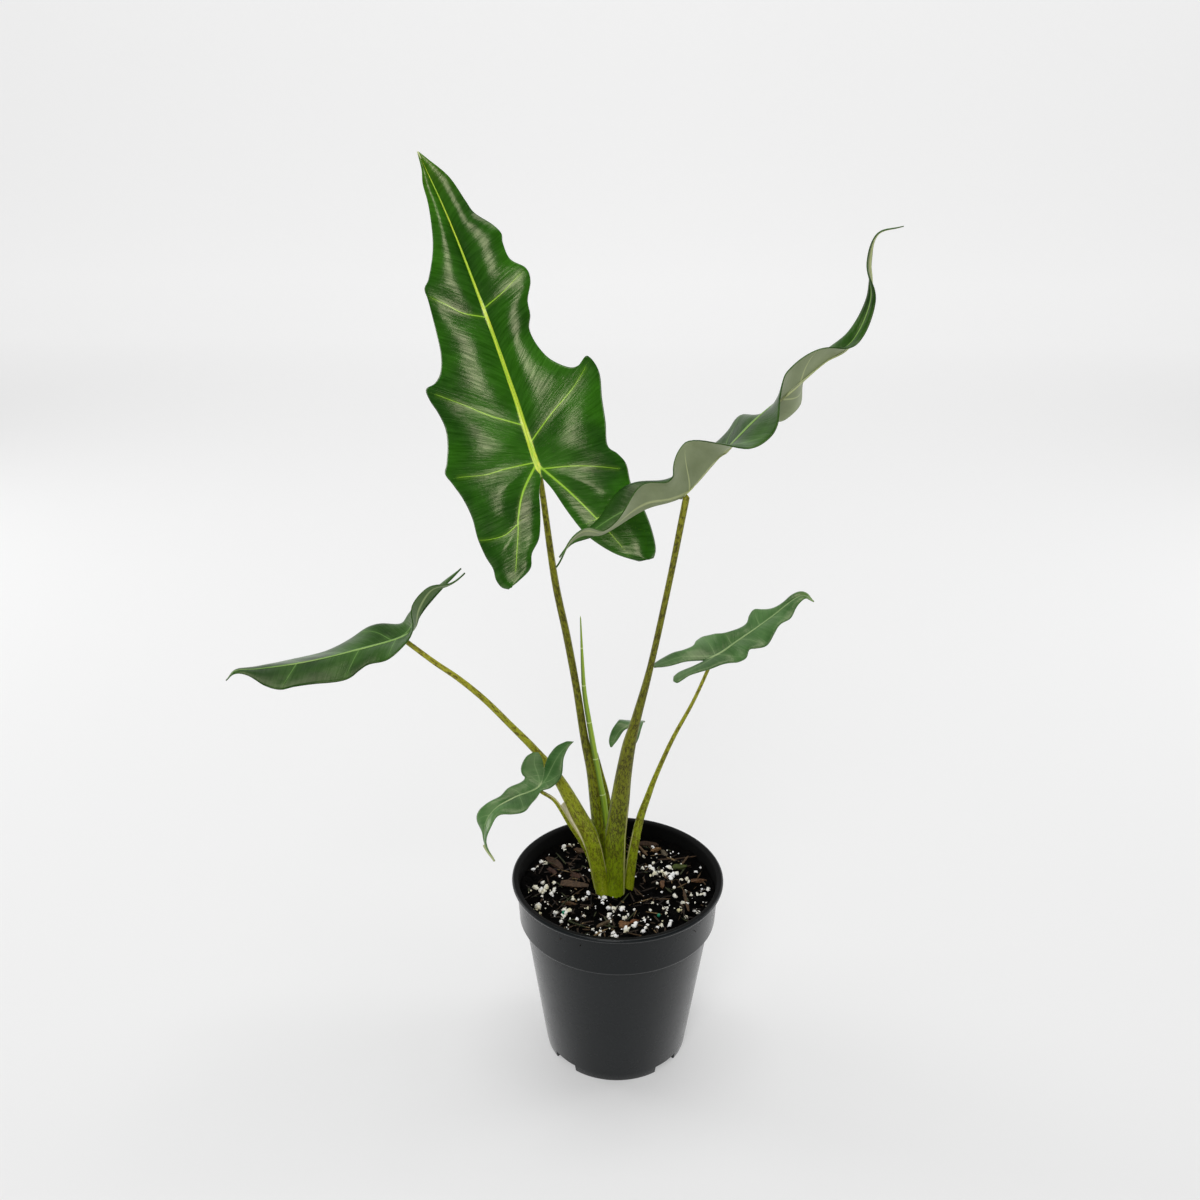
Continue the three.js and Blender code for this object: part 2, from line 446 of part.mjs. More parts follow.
// One leaf blade: both halves as slabs of even thickness, joined along the midrib
function bladeSolid(blade, grow) {
  const frameAt = midribFrames(blade);
  const length = blade.right[0][1];
  const { rows, shared } = rowsOf(blade);
  const corners = [];
  const push = (flip, a, b, c) => corners.push(...(flip ? [a, c, b] : [a, b, c]));
  [blade.right, blade.left].forEach((half, h) => {
    const sign = h === 0 ? 1 : -1;
    const folds = h === 0 ? blade.foldRight : blade.foldLeft;
    const surface = (x, y) => {
      const { place, up, side } = frameAt(y);
      const fold = THREE.MathUtils.degToRad(valueAt(folds, y));
      const turn = fold + blade.curl * x;
      const out = blade.curl ? (Math.sin(turn) - Math.sin(fold)) / blade.curl : x * Math.cos(fold);
      const rise = blade.curl ? (Math.cos(fold) - Math.cos(turn)) / blade.curl : x * Math.sin(fold);
      return place.addScaledVector(side, sign * out).addScaledVector(up, rise);
    };
    const normal = (x, y) => {
      const e = 0.4;
      const across = surface(x + e, y).sub(surface(Math.max(x - e, 0), y));
      const along = surface(x, y + e).sub(surface(x, y - e));
      return across.cross(along).normalize().multiplyScalar(sign);
    };
    const grid = rows[h].map((q, r) => {
      const { margin, root } = outline(half, q);
      const span = Math.hypot(margin[0] - root[0], margin[1] - root[1]);
      const near = Math.min(0.3, RIB_WIDTH / span);
      const across = [0];
      for (let c = 0; c < blade.columns; c += 1) across.push(near + (1 - near) * c / (blade.columns - 1));
      return across.map((u) => {
        const x = root[0] + (margin[0] - root[0]) * u;
        const y = root[1] + (margin[1] - root[1]) * u;
        const onRib = u === 0 && r < shared;
        const middle = surface(x, y);
        const up = onRib ? frameAt(y).up : normal(x, y);
        const rib = onRib ? RIB_RELIEF * (1 - 0.8 * y / length) : 0;
        return {
          middle,
          top: middle.clone().addScaledVector(up, BLADE_THICKNESS / 2 + grow),
          under: middle.clone().addScaledVector(up, -BLADE_THICKNESS / 2 - grow - rib),
        };
      });
    });
    const flip = h === 1;
    const ends = [[0, false], [grid.length - 1, true]];
    for (const [r, last] of ends) {
      for (let c = 0; c < blade.columns; c += 1) {
        const [a, b] = last ? [grid[r][c + 1], grid[r][c]] : [grid[r][c], grid[r][c + 1]];
        push(flip, a.top, b.top, b.under);
        push(flip, a.top, b.under, a.under);
      }
    }
    for (let r = 1; r < grid.length; r += 1) {
      for (let c = 0; c < blade.columns; c += 1) {
        const [a, b, d, e] = [grid[r - 1][c], grid[r][c], grid[r][c + 1], grid[r - 1][c + 1]];
        if (a.middle.distanceTo(d.middle) < b.middle.distanceTo(e.middle)) {
          push(flip, a.top, b.top, d.top);
          push(flip, a.top, d.top, e.top);
          push(flip, a.under, d.under, b.under);
          push(flip, a.under, e.under, d.under);
        } else {
          push(flip, a.top, b.top, e.top);
          push(flip, b.top, d.top, e.top);
          push(flip, a.under, e.under, b.under);
          push(flip, b.under, e.under, d.under);
        }
      }
      const margins = [[grid[r - 1][blade.columns], grid[r][blade.columns]]];
      if (r >= shared) margins.push([grid[r][0], grid[r - 1][0]]);
      for (const [a, b] of margins) {
        push(flip, a.top, b.top, b.under);
        push(flip, a.top, b.under, a.under);
      }
    }
  });
  const geometry = new THREE.BufferGeometry();
  const values = new Float32Array(corners.flatMap((p) => [p.x, p.y, p.z]));
  geometry.setAttribute('position', new THREE.BufferAttribute(values, 3));
  return toSolid(geometry);
}

// Potting mix: fills the pot 0.3 mm clear of its wall, with a rough top that perlite and bark stand out of
function mixHeight(x, y) {
  return 0.9 * Math.sin(x / 4.1 + 1) * Math.cos(y / 3.7) + 0.6 * Math.sin(x / 2.3 - y / 3.1);
}

function mixSolid() {
  const inner = (z) => potBodyRadius(z) - POT_WALL - GAP;
  const profile = [
    [0, FLOOR_TOP + GAP],
    [inner(FLOOR_TOP), FLOOR_TOP + GAP],
    [inner(BAND_FOOT_HEIGHT), BAND_FOOT_HEIGHT + 0.8],
    [BAND_FOOT_RADIUS - POT_WALL - GAP, BAND_FOOT_HEIGHT + 2],
    [BAND_FOOT_RADIUS - POT_WALL + 0.2, MIX_TOP - 1.5],
  ];
  for (let r = 48; r >= 0; r -= 8) profile.push([r, MIX_TOP]);
  const body = revolve(profile, 48);
  const place = body.attributes.position;
  for (let i = 0; i < place.count; i += 1) {
    const [x, y, z] = [place.getX(i), place.getY(i), place.getZ(i)];
    if (z > MIX_TOP - 0.1) place.setZ(i, z + mixHeight(x, y));
  }
  const random = seeded(31);
  const scatter = (piece, low, high, sunk) => {
    const r = Math.sqrt(low * low + (high * high - low * low) * random());
    const turn = 2 * Math.PI * random();
    const [x, y] = [r * Math.cos(turn), r * Math.sin(turn)];
    return toSolid(piece.translate(x, y, MIX_TOP + mixHeight(x, y) - sunk));
  };
  let mix = toSolid(body);
  for (let i = 0; i < BARK_COUNT; i += 1) {
    const chip = new THREE.BoxGeometry(7 + 6 * random(), 3 + 2 * random(), 2);
    chip.rotateY(0.5 * (random() - 0.5));
    chip.rotateZ(Math.PI * random());
    mix = mix.add(scatter(chip, 16, 42, 0.2));
  }
  for (let i = 0; i < PERLITE_COUNT; i += 1) {
    const size = 1 + 0.9 * random();
    const grain = new THREE.IcosahedronGeometry(size, 0);
    grain.rotateX(3 * random());
    mix = mix.add(scatter(grain, 14, 48, 0.3 * size));
  }
  return mix;
}

// The plant, from the thickest stalk outwards: each later stalk is hollowed where it wraps an earlier one
const group = new THREE.Group();

function addMesh(name, solid, material) {
  const mesh = new THREE.Mesh(toGeometry(solid), material);
  mesh.name = name;
  group.add(mesh);
}

addMesh('pot', potSolid(), plastic);
addMesh('corm', cormSolid(0), cormSkin);

const belowCorm = toSolid(new THREE.BoxGeometry(80, 80, 60).translate(0, 0, CORM_TOP + GAP - 30));
const clearances = [];
for (const [name, { points, radii }] of Object.entries(STALKS)) {
  const cutters = [belowCorm, ...clearances];
  if (BLADES[name]) cutters.push(bladeSolid(BLADES[name], GAP));
  const stalk = minus(stalkSolid(points, radii, 0), cutters);
  clearances.push(stalkSolid(points, radii, GAP));
  addMesh(BLADES[name] ? `petiole_${name}` : name, stalk, BLADES[name] ? stalkGreen : newLeafGreen);
}
for (const [name, blade] of Object.entries(BLADES)) {
  addMesh(`blade_${name}`, bladeSolid(blade, 0), bladeGreen);
}
addMesh('potting_mix', minus(mixSolid(), [...clearances, cormSolid(GAP)]), peat);

export default group;
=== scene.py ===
import math
import random

import bmesh
import bpy
import numpy as np
from mathutils import Matrix, Vector, noise


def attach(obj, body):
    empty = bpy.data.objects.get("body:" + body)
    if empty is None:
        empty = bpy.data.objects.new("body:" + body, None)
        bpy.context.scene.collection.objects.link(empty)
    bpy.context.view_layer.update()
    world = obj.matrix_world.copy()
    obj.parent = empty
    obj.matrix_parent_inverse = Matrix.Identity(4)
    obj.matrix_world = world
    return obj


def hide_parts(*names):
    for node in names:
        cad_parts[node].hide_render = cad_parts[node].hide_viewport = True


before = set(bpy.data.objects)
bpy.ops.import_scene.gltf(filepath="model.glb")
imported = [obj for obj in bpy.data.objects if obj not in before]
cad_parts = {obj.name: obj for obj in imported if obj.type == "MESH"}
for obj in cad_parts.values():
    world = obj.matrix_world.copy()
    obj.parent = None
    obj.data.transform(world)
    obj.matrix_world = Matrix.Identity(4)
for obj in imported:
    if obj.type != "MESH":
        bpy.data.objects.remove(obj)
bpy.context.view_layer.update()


# Camera
# It stands half a metre in front of the plant, a little above its top, and looks down by 22 degrees.
# The lens is as long as its film is wide, so it takes in much, and what is near looks larger.
camera_place = (0, -0.5366, 0.479)
pitch, yaw, roll = math.radians(22.03), math.radians(-1.076), math.radians(0.285)
film_width = 36
ahead = Vector((math.sin(yaw) * math.cos(pitch), math.cos(yaw) * math.cos(pitch), -math.sin(pitch)))
level = Vector((math.cos(yaw), -math.sin(yaw), 0))
upward = level.cross(ahead)
right = level * math.cos(roll) + upward * math.sin(roll)
upward = upward * math.cos(roll) - level * math.sin(roll)
lens = bpy.data.cameras.new("camera")
lens.lens = film_width
lens.sensor_width = film_width
lens.clip_start = 0.05
camera = bpy.data.objects.new("camera", lens)
camera.matrix_world = Matrix([*zip(right, upward, -ahead, camera_place), (0, 0, 0, 1)])
bpy.context.collection.objects.link(camera)
bpy.context.scene.camera = camera


# Floor and light
# A pale paper sweep, one sheet that lies flat and curves up behind, so that no horizon shows.
# A soft key light hangs over the camera, one stands at each side behind the plant and a wide one
# hangs above, in a dim white room.
def srgb(code):
    """A hex colour as a linear one."""
    parts = [int(code[i:i + 2], 16) / 255 for i in (1, 3, 5)]
    linear = [c / 12.92 if c <= 0.04045 else ((c + 0.055) / 1.055) ** 2.4 for c in parts]
    return (*linear, 1)


def set_inputs(item, inputs):
    """Gives a node's inputs a number, a vector, a hex colour or a link from another node's output."""
    for key, value in inputs.items():
        if isinstance(value, bpy.types.NodeSocket):
            item.id_data.links.new(value, item.inputs[key])
        else:
            item.inputs[key].default_value = srgb(value) if isinstance(value, str) else value


def add_node(material, kind, inputs=None, out=0, **settings):
    """Adds a node with its settings and links, and gives back one of its outputs."""
    item = material.node_tree.nodes.new("ShaderNode" + kind)
    for key, value in settings.items():
        setattr(item, key, value)
    set_inputs(item, inputs or {})
    return item.outputs[out]


def new_material(name):
    """A material with nothing set yet."""
    material = bpy.data.materials.new(name)
    material.use_nodes = True
    return material


def set_shader(material, inputs):
    """Sets the inputs of a material's surface shader."""
    set_inputs(material.node_tree.nodes["Principled BSDF"], inputs)


def piece_from(name, bm, *materials, smooth=True):
    """Makes a bmesh a finished object at the origin."""
    mesh = bpy.data.meshes.new(name)
    bm.to_mesh(mesh)
    bm.free()
    mesh.shade_smooth() if smooth else mesh.shade_flat()
    for material in materials:
        mesh.materials.append(material)
    item = bpy.data.objects.new(name, mesh)
    bpy.context.collection.objects.link(item)
    return item


paper = new_material("matt white background paper with painted glow")
# It glows as painted light, a little more the farther back it lies and the higher it hangs
depth = add_node(paper, "SeparateXYZ", {"Vector": add_node(paper, "TexCoord", out="Object")}, out="Y")
painted_glow = add_node(paper, "MapRange", {
    "Value": depth, "From Min": -0.5, "From Max": 2.6, "To Min": 0.27, "To Max": 0.62})
set_shader(paper, {"Base Color": "#bcbcbc", "Roughness": 0.9, "Specular IOR Level": 0.1,
                   "Emission Color": "#ffffff", "Emission Strength": painted_glow})

sweep_side, sweep_front, bend_start, bend_radius, sweep_top = 4, -2.5, 2.2, 1, 4
bm = bmesh.new()
line = [(sweep_front, 0), (bend_start, 0)]
line += [(bend_start + bend_radius * math.sin(a), bend_radius * (1 - math.cos(a)))
         for a in np.linspace(0.1, math.pi / 2, 12)]
line.append((bend_start + bend_radius, sweep_top))
points = [bm.verts.new((-sweep_side, y, z)) for y, z in line]
edges = [bm.edges.new(pair) for pair in zip(points, points[1:])]
swept = bmesh.ops.extrude_edge_only(bm, edges=edges)["geom"]
bmesh.ops.translate(bm, verts=[v for v in swept if isinstance(v, bmesh.types.BMVert)],
                    vec=(2 * sweep_side, 0, 0))
bmesh.ops.recalc_face_normals(bm, faces=bm.faces)
piece_from("paper_sweep", bm, paper)


def soft_light(name, place, aim, width, height, power):
    lamp = bpy.data.lights.new(name, "AREA")
    lamp.shape = "RECTANGLE"
    lamp.size = width
    lamp.size_y = height
    lamp.energy = power
    item = bpy.data.objects.new(name, lamp)
    item.location = place
    item.rotation_euler = (Vector(aim) - Vector(place)).to_track_quat("-Z", "Y").to_euler()
    bpy.context.collection.objects.link(item)


soft_light("key_light", (-0.2, -1.25, 1.12), (-0.05, 0.04, 0.36), 0.6, 0.9, 11)
soft_light("side_light", (-1.4, 0.55, 0.5), (0, 0, 0.12), 0.6, 1.0, 7)
soft_light("right_light", (1.4, 0.5, 0.45), (0, 0, 0.12), 0.5, 0.9, 6)
soft_light("top_light", (0, 0.25, 2.2), (0, 0, 0), 1.4, 1.2, 22)
room = bpy.data.worlds.new("white_room")
room.use_nodes = True
set_inputs(room.node_tree.nodes["Background"], {"Color": "#ffffff", "Strength": 0.18})
bpy.context.scene.world = room
bpy.context.scene.view_settings.view_transform = "Standard"


# Pot
# One injection-moulded polypropylene pot: a tapered body, a deep band that steps out, and a thin lip.
# The wall is 1.2 mm thick, and four drainage notches are cut through its lower corner.
pot_height = 0.105
lip_radius = 0.056
band_top, band_foot, band_foot_height = 0.0535, 0.0523, 0.0816
body_top, base_radius = 0.0496, 0.0383
pot_wall, floor_top = 0.0012, 0.0024
pad_radius, foot_recess = 0.010, 0.0012
notch_width, notch_height = 0.015, 0.0045


def body_radius(z):
    return base_radius + (body_top - base_radius) * z / band_foot_height


def spun(profile, steps):
    """A closed shape turned round the pot's axis, from its radii and heights."""
    bm = bmesh.new()
    points = [bm.verts.new((r, 0, z)) for r, z in profile]
    for pair in zip(points, points[1:]):
        bm.edges.new(pair)
    bmesh.ops.spin(bm, geom=bm.verts[:] + bm.edges[:], cent=(0, 0, 0), axis=(0, 0, 1), angle=2 * math.pi,
                   steps=steps, use_merge=True)
    bmesh.ops.remove_doubles(bm, verts=bm.verts, dist=1e-6)
    bmesh.ops.recalc_face_normals(bm, faces=bm.faces)
    return bm


# The Mix node's sockets and settings for colours
FACTOR, COLOUR_A, COLOUR_B = 0, 6, 7
IN_COLOUR = {"data_type": "RGBA", "out": 2}

pot_plastic = new_material("injection-moulded black polypropylene")
# Black resin with carbon pigment: a satin skin, a little greyer where handling has scuffed it, with
# the fine orange peel of the mould, about 0.5 mm across. Its sheen is a bloom from handling, which
# shows pale where the wall turns away from the eye.
place = add_node(pot_plastic, "TexCoord", out="Object")
scuff = add_node(pot_plastic, "TexNoise", {"Vector": place, "Scale": 90.0, "Detail": 6.0, "Roughness": 0.7})
satin = add_node(pot_plastic, "MapRange", {
    "Value": scuff, "From Min": 0.3, "From Max": 0.7, "To Min": 0.2, "To Max": 0.32})
dust = add_node(pot_plastic, "TexNoise", {"Vector": place, "Scale": 28.0, "Detail": 3.0})
tone = add_node(pot_plastic, "Mix", {FACTOR: dust, COLOUR_A: "#060b0d", COLOUR_B: "#0e1417"}, **IN_COLOUR)
peel = add_node(pot_plastic, "TexNoise", {"Vector": place, "Scale": 1800.0, "Detail": 2.0})
skin = add_node(pot_plastic, "Bump", {"Height": peel, "Strength": 0.03, "Distance": 0.0002})
set_shader(pot_plastic, {"Base Color": tone, "Roughness": satin, "Specular IOR Level": 0.2, "Normal": skin,
                         "Sheen Weight": 0.22, "Sheen Roughness": 0.45})
# The same plastic inside, from the lip's inner half down, darker and dull: painted shade inside the pot
shaded_inner_plastic = new_material("black polypropylene darkened as painted shade")
set_shader(shaded_inner_plastic, {"Base Color": "#040404", "Roughness": 0.6, "Specular IOR Level": 0.1})

pot = piece_from("nursery_pot", spun([
    (0, 0), (pad_radius, 0), (pad_radius + 0.001, foot_recess), (base_radius - 0.011, foot_recess),
    (base_radius - 0.010, 0), (base_radius - 0.001, 0), (base_radius - 0.0003, 0.0003), (base_radius, 0.001),
    (body_radius(0.0052), 0.0052), (body_radius(0.04), 0.04),
    (body_radius(band_foot_height - 0.0008), band_foot_height - 0.0008),
    (band_foot - 0.0006, band_foot_height - 0.0006), (band_foot - 0.0002, band_foot_height - 0.0003),
    (band_foot, band_foot_height + 0.0002), (band_foot, band_foot_height + 0.0006),
    (band_top, pot_height - 0.0028), (band_top + 0.0004, pot_height - 0.0024),
    (lip_radius - 0.0006, pot_height - 0.0021), (lip_radius - 0.0002, pot_height - 0.0018),
    (lip_radius, pot_height - 0.0012), (lip_radius - 0.0001, pot_height - 0.0005),
    (lip_radius - 0.0005, pot_height - 0.0001), (lip_radius - 0.0010, pot_height),
    (band_top - 0.0001, pot_height), (band_top - 0.0007, pot_height - 0.0004),
    (band_top - pot_wall, pot_height - 0.0014), (band_foot - pot_wall, band_foot_height + 0.0016),
    (body_radius(band_foot_height) - pot_wall, band_foot_height + 0.0004),
    (body_radius(0.04) - pot_wall, 0.04), (body_radius(0.0052) - pot_wall, 0.0052),
    (body_radius(floor_top) - pot_wall, floor_top + 0.0005),
    (body_radius(floor_top) - pot_wall - 0.0005, floor_top), (0, floor_top)], 160), pot_plastic)

bm = bmesh.new()
for turn in (45, 135, 225, 315):
    block = bmesh.ops.create_cube(bm, size=1)["verts"]
    bmesh.ops.scale(bm, verts=block, vec=(0.010, notch_width, 2 * notch_height))
    bmesh.ops.translate(bm, verts=block, vec=(base_radius - 0.001, 0, 0))
    bmesh.ops.rotate(bm, verts=block, cent=(0, 0, 0), matrix=Matrix.Rotation(math.radians(turn), 3, "Z"))
notches = piece_from("notch_cutters", bm)
cut = pot.modifiers.new("drainage_notches", "BOOLEAN")
cut.object = notches
cut.operation = "DIFFERENCE"
cut.solver = "EXACT"
pot.data = bpy.data.meshes.new_from_object(pot.evaluated_get(bpy.context.evaluated_depsgraph_get()))
pot.modifiers.clear()
bpy.data.objects.remove(notches)
pot.data.set_sharp_from_angle(angle=math.radians(40))
pot.data.materials.append(shaded_inner_plastic)
unshaded_lip = 0.0012
# The inner wall and the lip's inner half take the darker plastic, which is painted shade
for face in pot.data.polygons:
    outwards = Vector((face.center.x, face.center.y, 0)).normalized()
    from_axis = face.center.xy.length
    inner_wall = face.normal.dot(outwards) < -0.5 and from_axis > 0.030
    if inner_wall or face.center.z > pot_height - 0.0005 and from_axis < lip_radius - unshaded_lip:
        face.material_index = 1
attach(pot, "root")
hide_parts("pot")


# Potting mix
# Damp black peat fills the pot to a centimetre below its lip: a loose, crumbly top over a pressed body.
# Its top swells and dips by a millimetre or two, with crumbs and clods on it, and banks up at the wall.
mix_top, mix_radius = 0.095, 0.0516
bank_start, bank_width, bank_rise = 0.040, 0.011, 0.0018
gap = 0.0003
rng = random.Random(31)


def mix_height(x, y):
    """The height of the soil's top, in metres."""
    a, b = x * 1000, y * 1000
    swell = 0.9 * math.sin(a / 4.1 + 1) * math.cos(b / 3.7) + 0.6 * math.sin(a / 2.3 - b / 3.1)
    banked = min(max((math.hypot(x, y) - bank_start) / bank_width, 0), 1)
    return mix_top + swell / 1000 + bank_rise * banked ** 2


def scattered(low, high):
    """A place on the soil, evenly likely between two radii."""
    r = math.sqrt(rng.uniform(low ** 2, high ** 2))
    turn = rng.uniform(0, 2 * math.pi)
    return r * math.cos(turn), r * math.sin(turn)


def lay(bm, verts, x, y, raised, *turns):
    """Turns a small piece and lays it on the soil, or a little above or in it."""
    for axis, angle in turns:
        bmesh.ops.rotate(bm, verts=verts, cent=(0, 0, 0), matrix=Matrix.Rotation(angle, 3, axis))
    bmesh.ops.translate(bm, verts=verts, vec=(x, y, mix_height(x, y) + raised))


def lump(bm, radius, parts, rough):
    """A rough grain of the given radius at the origin."""
    verts = bmesh.ops.create_icosphere(bm, subdivisions=parts, radius=radius)["verts"]
    start = Vector((rng.uniform(0, 50), rng.uniform(0, 50), rng.uniform(0, 50)))
    stretch = Vector((rng.uniform(0.75, 1.2), rng.uniform(0.75, 1.2), rng.uniform(0.7, 1.0)))
    for v in verts:
        push = 1 + rough * noise.noise(v.co * (1.5 / radius) + start)
        v.co = v.co * stretch * push
    return verts


def add_runs(bm, runs, lay_run):
    """Adds small pieces a short run at a time, because each step of making one walks through all its mesh."""
    mesh = bpy.data.meshes.new("run")
    for _ in range(runs):
        some = bmesh.new()
        lay_run(some)
        some.to_mesh(mesh)
        some.free()
        bm.from_mesh(mesh)


def lay_crumbs(bm):
    for _ in range(100):
        size = rng.uniform(0.0004, 0.0012)
        x, y = scattered(0.004, 0.0495)
        lay(bm, lump(bm, size, 1, 0.5), x, y, 0.2 * size)


def set_stops(ramp, *stops):
    """Gives a colour ramp its stops, each a position and a colour, from the lowest to the highest."""
    for element, (position, colour) in zip(ramp.elements, (stops[0], stops[-1])):
        element.position, element.color = position, srgb(colour)
    for position, colour in stops[1:-1]:
        ramp.elements.new(position).color = srgb(colour)


peat = new_material("damp sphagnum peat with coir dust")
# Almost black, broken by brown crumbs of about 1 mm that have dried out
place = add_node(peat, "TexCoord", out="Object")
clods = add_node(peat, "TexNoise", {"Vector": place, "Scale": 420.0, "Detail": 6.0, "Roughness": 0.75})
crumb_tone = add_node(peat, "ValToRGB", {"Fac": clods})
set_stops(crumb_tone.node.color_ramp, (0.42, "#010101"), (0.62, "#050403"), (0.80, "#3f2d1e"))
grit = add_node(peat, "TexNoise", {"Vector": place, "Scale": 2600.0, "Detail": 4.0})
relief = add_node(peat, "Bump", {"Height": grit, "Strength": 0.6, "Distance": 0.0004})
set_shader(peat, {"Base Color": crumb_tone, "Roughness": 0.85, "Specular IOR Level": 0.04, "Normal": relief})

inner = [(0, floor_top + gap), (body_radius(floor_top) - pot_wall - gap, floor_top + gap),
         (body_radius(band_foot_height) - pot_wall - gap, band_foot_height + 0.0008),
         (band_foot - pot_wall - gap, band_foot_height + 0.002),
         (band_foot - pot_wall + gap, mix_top - 0.0015)]
inner += [(r, mix_top) for r in np.arange(mix_radius, 0, -0.0008)] + [(0, mix_top)]
bm = spun(inner, 256)
for v in bm.verts:
    if v.co.z > mix_top - 0.0001:
        crumbs = 0.0009 * noise.noise(v.co * 310) + 0.0006 * abs(noise.noise(v.co * 850))
        v.co.z = mix_height(v.co.x, v.co.y) + crumbs
add_runs(bm, 14, lay_crumbs)
soil = piece_from("peat_top", bm, peat, smooth=False)
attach(soil, "root")
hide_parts("potting_mix")


# Perlite
# White grains of blown volcanic glass, 0.5 to 5 mm across, stirred into the mix and lying in clusters.
# They are light and chalky, some stained cream by the peat.
perlite = new_material("expanded perlite")
# Chalky white with pores under half a millimetre across, cream where it has taken up the peat's stain
place = add_node(perlite, "TexCoord", out="Object")
stain = add_node(perlite, "TexNoise", {"Vector": place, "Scale": 130.0, "Detail": 3.0})
stained = add_node(perlite, "ValToRGB", {"Fac": stain})
set_stops(stained.node.color_ramp, (0.4, "#ffffff"), (0.72, "#d8cfa0"))
pores = add_node(perlite, "TexVoronoi", {"Vector": place, "Scale": 2400.0}, out="Distance")
pitted = add_node(perlite, "Bump", {"Height": pores, "Strength": 0.5, "Distance": 0.0002})
set_shader(perlite, {"Base Color": stained, "Roughness": 0.8, "Normal": pitted})

# Clusters: the middle's place and how far it spreads, in millimetres, and how many grains
clusters = [(-40, 0, 5, 10), (-40, -16, 5, 9), (-47, 20, 7, 9), (-26, -25, 5, 10), (-10, -11, 6, 12),
            (0, -22, 5, 10), (18, -29, 8, 14), (-8, -38, 8, 14), (45, 1, 6, 12), (43, -15, 5, 8),
            (29, -14, 6, 9), (28, 17, 5, 14), (38, 39, 5, 9), (-28, 40, 5, 8), (16, 21, 4, 8),
            (12, 38, 8, 6), (5, -44, 8, 8)]
grain_sizes = (0.0004, 0.0006, 0.0008, 0.0010, 0.0012, 0.0015)
single_grains = 220
bm = bmesh.new()
for x, y, spread, count in clusters:
    for _ in range(count):
        size = rng.choice(grain_sizes)
        px, py = (rng.gauss(x, 0.7 * spread) / 1000, rng.gauss(y, 0.7 * spread) / 1000)
        if math.hypot(px, py) < 0.049:
            lay(bm, lump(bm, size, 2, 0.95), px, py, 0.45 * size,
                ("X", rng.uniform(0, 3)), ("Z", rng.uniform(0, 3)))
for _ in range(single_grains):
    size = rng.uniform(0.0003, 0.0011) if rng.random() < 0.6 else rng.uniform(0.0003, 0.0005)
    x, y = scattered(0.012, 0.0495)
    lay(bm, lump(bm, size, 2 if size > 0.0007 else 1, 0.5), x, y, 0.5 * size)
grains = piece_from("perlite_grains", bm, perlite)
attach(grains, "root")
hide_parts("potting_mix")


# Bark, twigs and fibres
# Flat chips of pine bark up to 20 mm long, dry twigs and thin coir fibres lie among the peat.
# They are laid loose, at all angles, with their lower sides sunk in it.
bark = new_material("weathered pine bark")
# Red-brown, streaked by lighter grain along each chip and frayed at the ends
place = add_node(bark, "TexCoord", out="Object")
chip_colour = add_node(bark, "VertexColor", layer_name="chip")
grain = add_node(bark, "TexNoise", {"Vector": place, "Scale": 700.0, "Detail": 5.0, "Roughness": 0.7})
worn = add_node(bark, "MapRange", {
    "Value": grain, "From Min": 0.35, "From Max": 0.7, "To Min": 0.3, "To Max": 1.1})
streaked = add_node(bark, "VectorMath", {0: chip_colour, 1: worn}, operation="MULTIPLY")
split = add_node(bark, "Bump", {"Height": grain, "Strength": 0.8, "Distance": 0.0005})
set_shader(bark, {"Base Color": streaked, "Roughness": 0.75, "Specular IOR Level": 0.3, "Normal": split})

# Chips: the middle's place, length, turn, width and colour, in millimetres and degrees
chips = [
    (-23, 1, 15, -8, 5.3, "#5a4430"), (-35, 23, 13, -45, 4.5, "#4a3626"), (-23, 37, 10, -24, 3.4, "#5f4730"),
    (17, 42, 12, -13, 3.8, "#4d3828"), (4, -30, 7, -4, 4, "#7a5636"), (24, 4, 7, -92, 2.4, "#6f4d30"),
    (36, -10, 20, -85, 1.9, "#5c452c"), (-36, 15, 15, -54, 3.2, "#43291d"), (44, 8, 9, 10, 2.3, "#6a4a2f"),
    (20, 36, 9, 21, 1.7, "#8b6a45"), (-23, 13, 13, -23, 3.0, "#4d3020"), (-26, -12, 11, -19, 2.3, "#5e4126"),
    (-6, -31, 12, 46, 1.7, "#5b4a35"), (14, 34, 12, -67, 1.5, "#7b6146"), (26, 35, 8, -79, 3.0, "#6f6552"),
    (9, -28, 5, 40, 3, "#7c4a28"), (34, 20, 8, 20, 3, "#4f5c22")]
chip_depth, chip_raised = 0.0013, 0.0006
sliver_colours = ("#2c2119", "#3c2c1e", "#4a3826", "#5f4a32", "#241c17", "#8a7350", "#3f4428", "#33261b")


def chip(bm, x, y, length, width, depth, turn, tilt, colour):
    """One flat, broken chip with rough faces."""
    layers = bm.loops.layers.float_color
    tint = layers.get("chip") or layers.new("chip")
    before = set(bm.faces)
    verts = bmesh.ops.create_cube(bm, size=1)["verts"]
    edges = {e for v in verts for e in v.link_edges}
    long = [e for e in edges if abs(e.verts[0].co.x - e.verts[1].co.x) > 0.5]
    bmesh.ops.subdivide_edges(bm, edges=long, cuts=4, use_grid_fill=True)
    fresh = [f for f in bm.faces if f not in before]
    verts = list({v for f in fresh for v in f.verts})
    start = Vector((rng.uniform(0, 50), rng.uniform(0, 50), 0))
    for v in verts:
        taper = 1 - 0.5 * abs(2 * v.co.x) ** 3
        bend = 0.5 * noise.noise(Vector((v.co.x * 2, v.co.y * 3, v.co.z * 3)) + start)
        v.co = Vector((v.co.x * length, (v.co.y * taper + 0.5 * bend) * width,
                       (v.co.z * taper + bend) * depth))
    for face in fresh:
        for corner in face.loops:
            corner[tint] = srgb(colour)
    lay(bm, verts, x, y, chip_raised, ("Y", tilt), ("Z", turn))


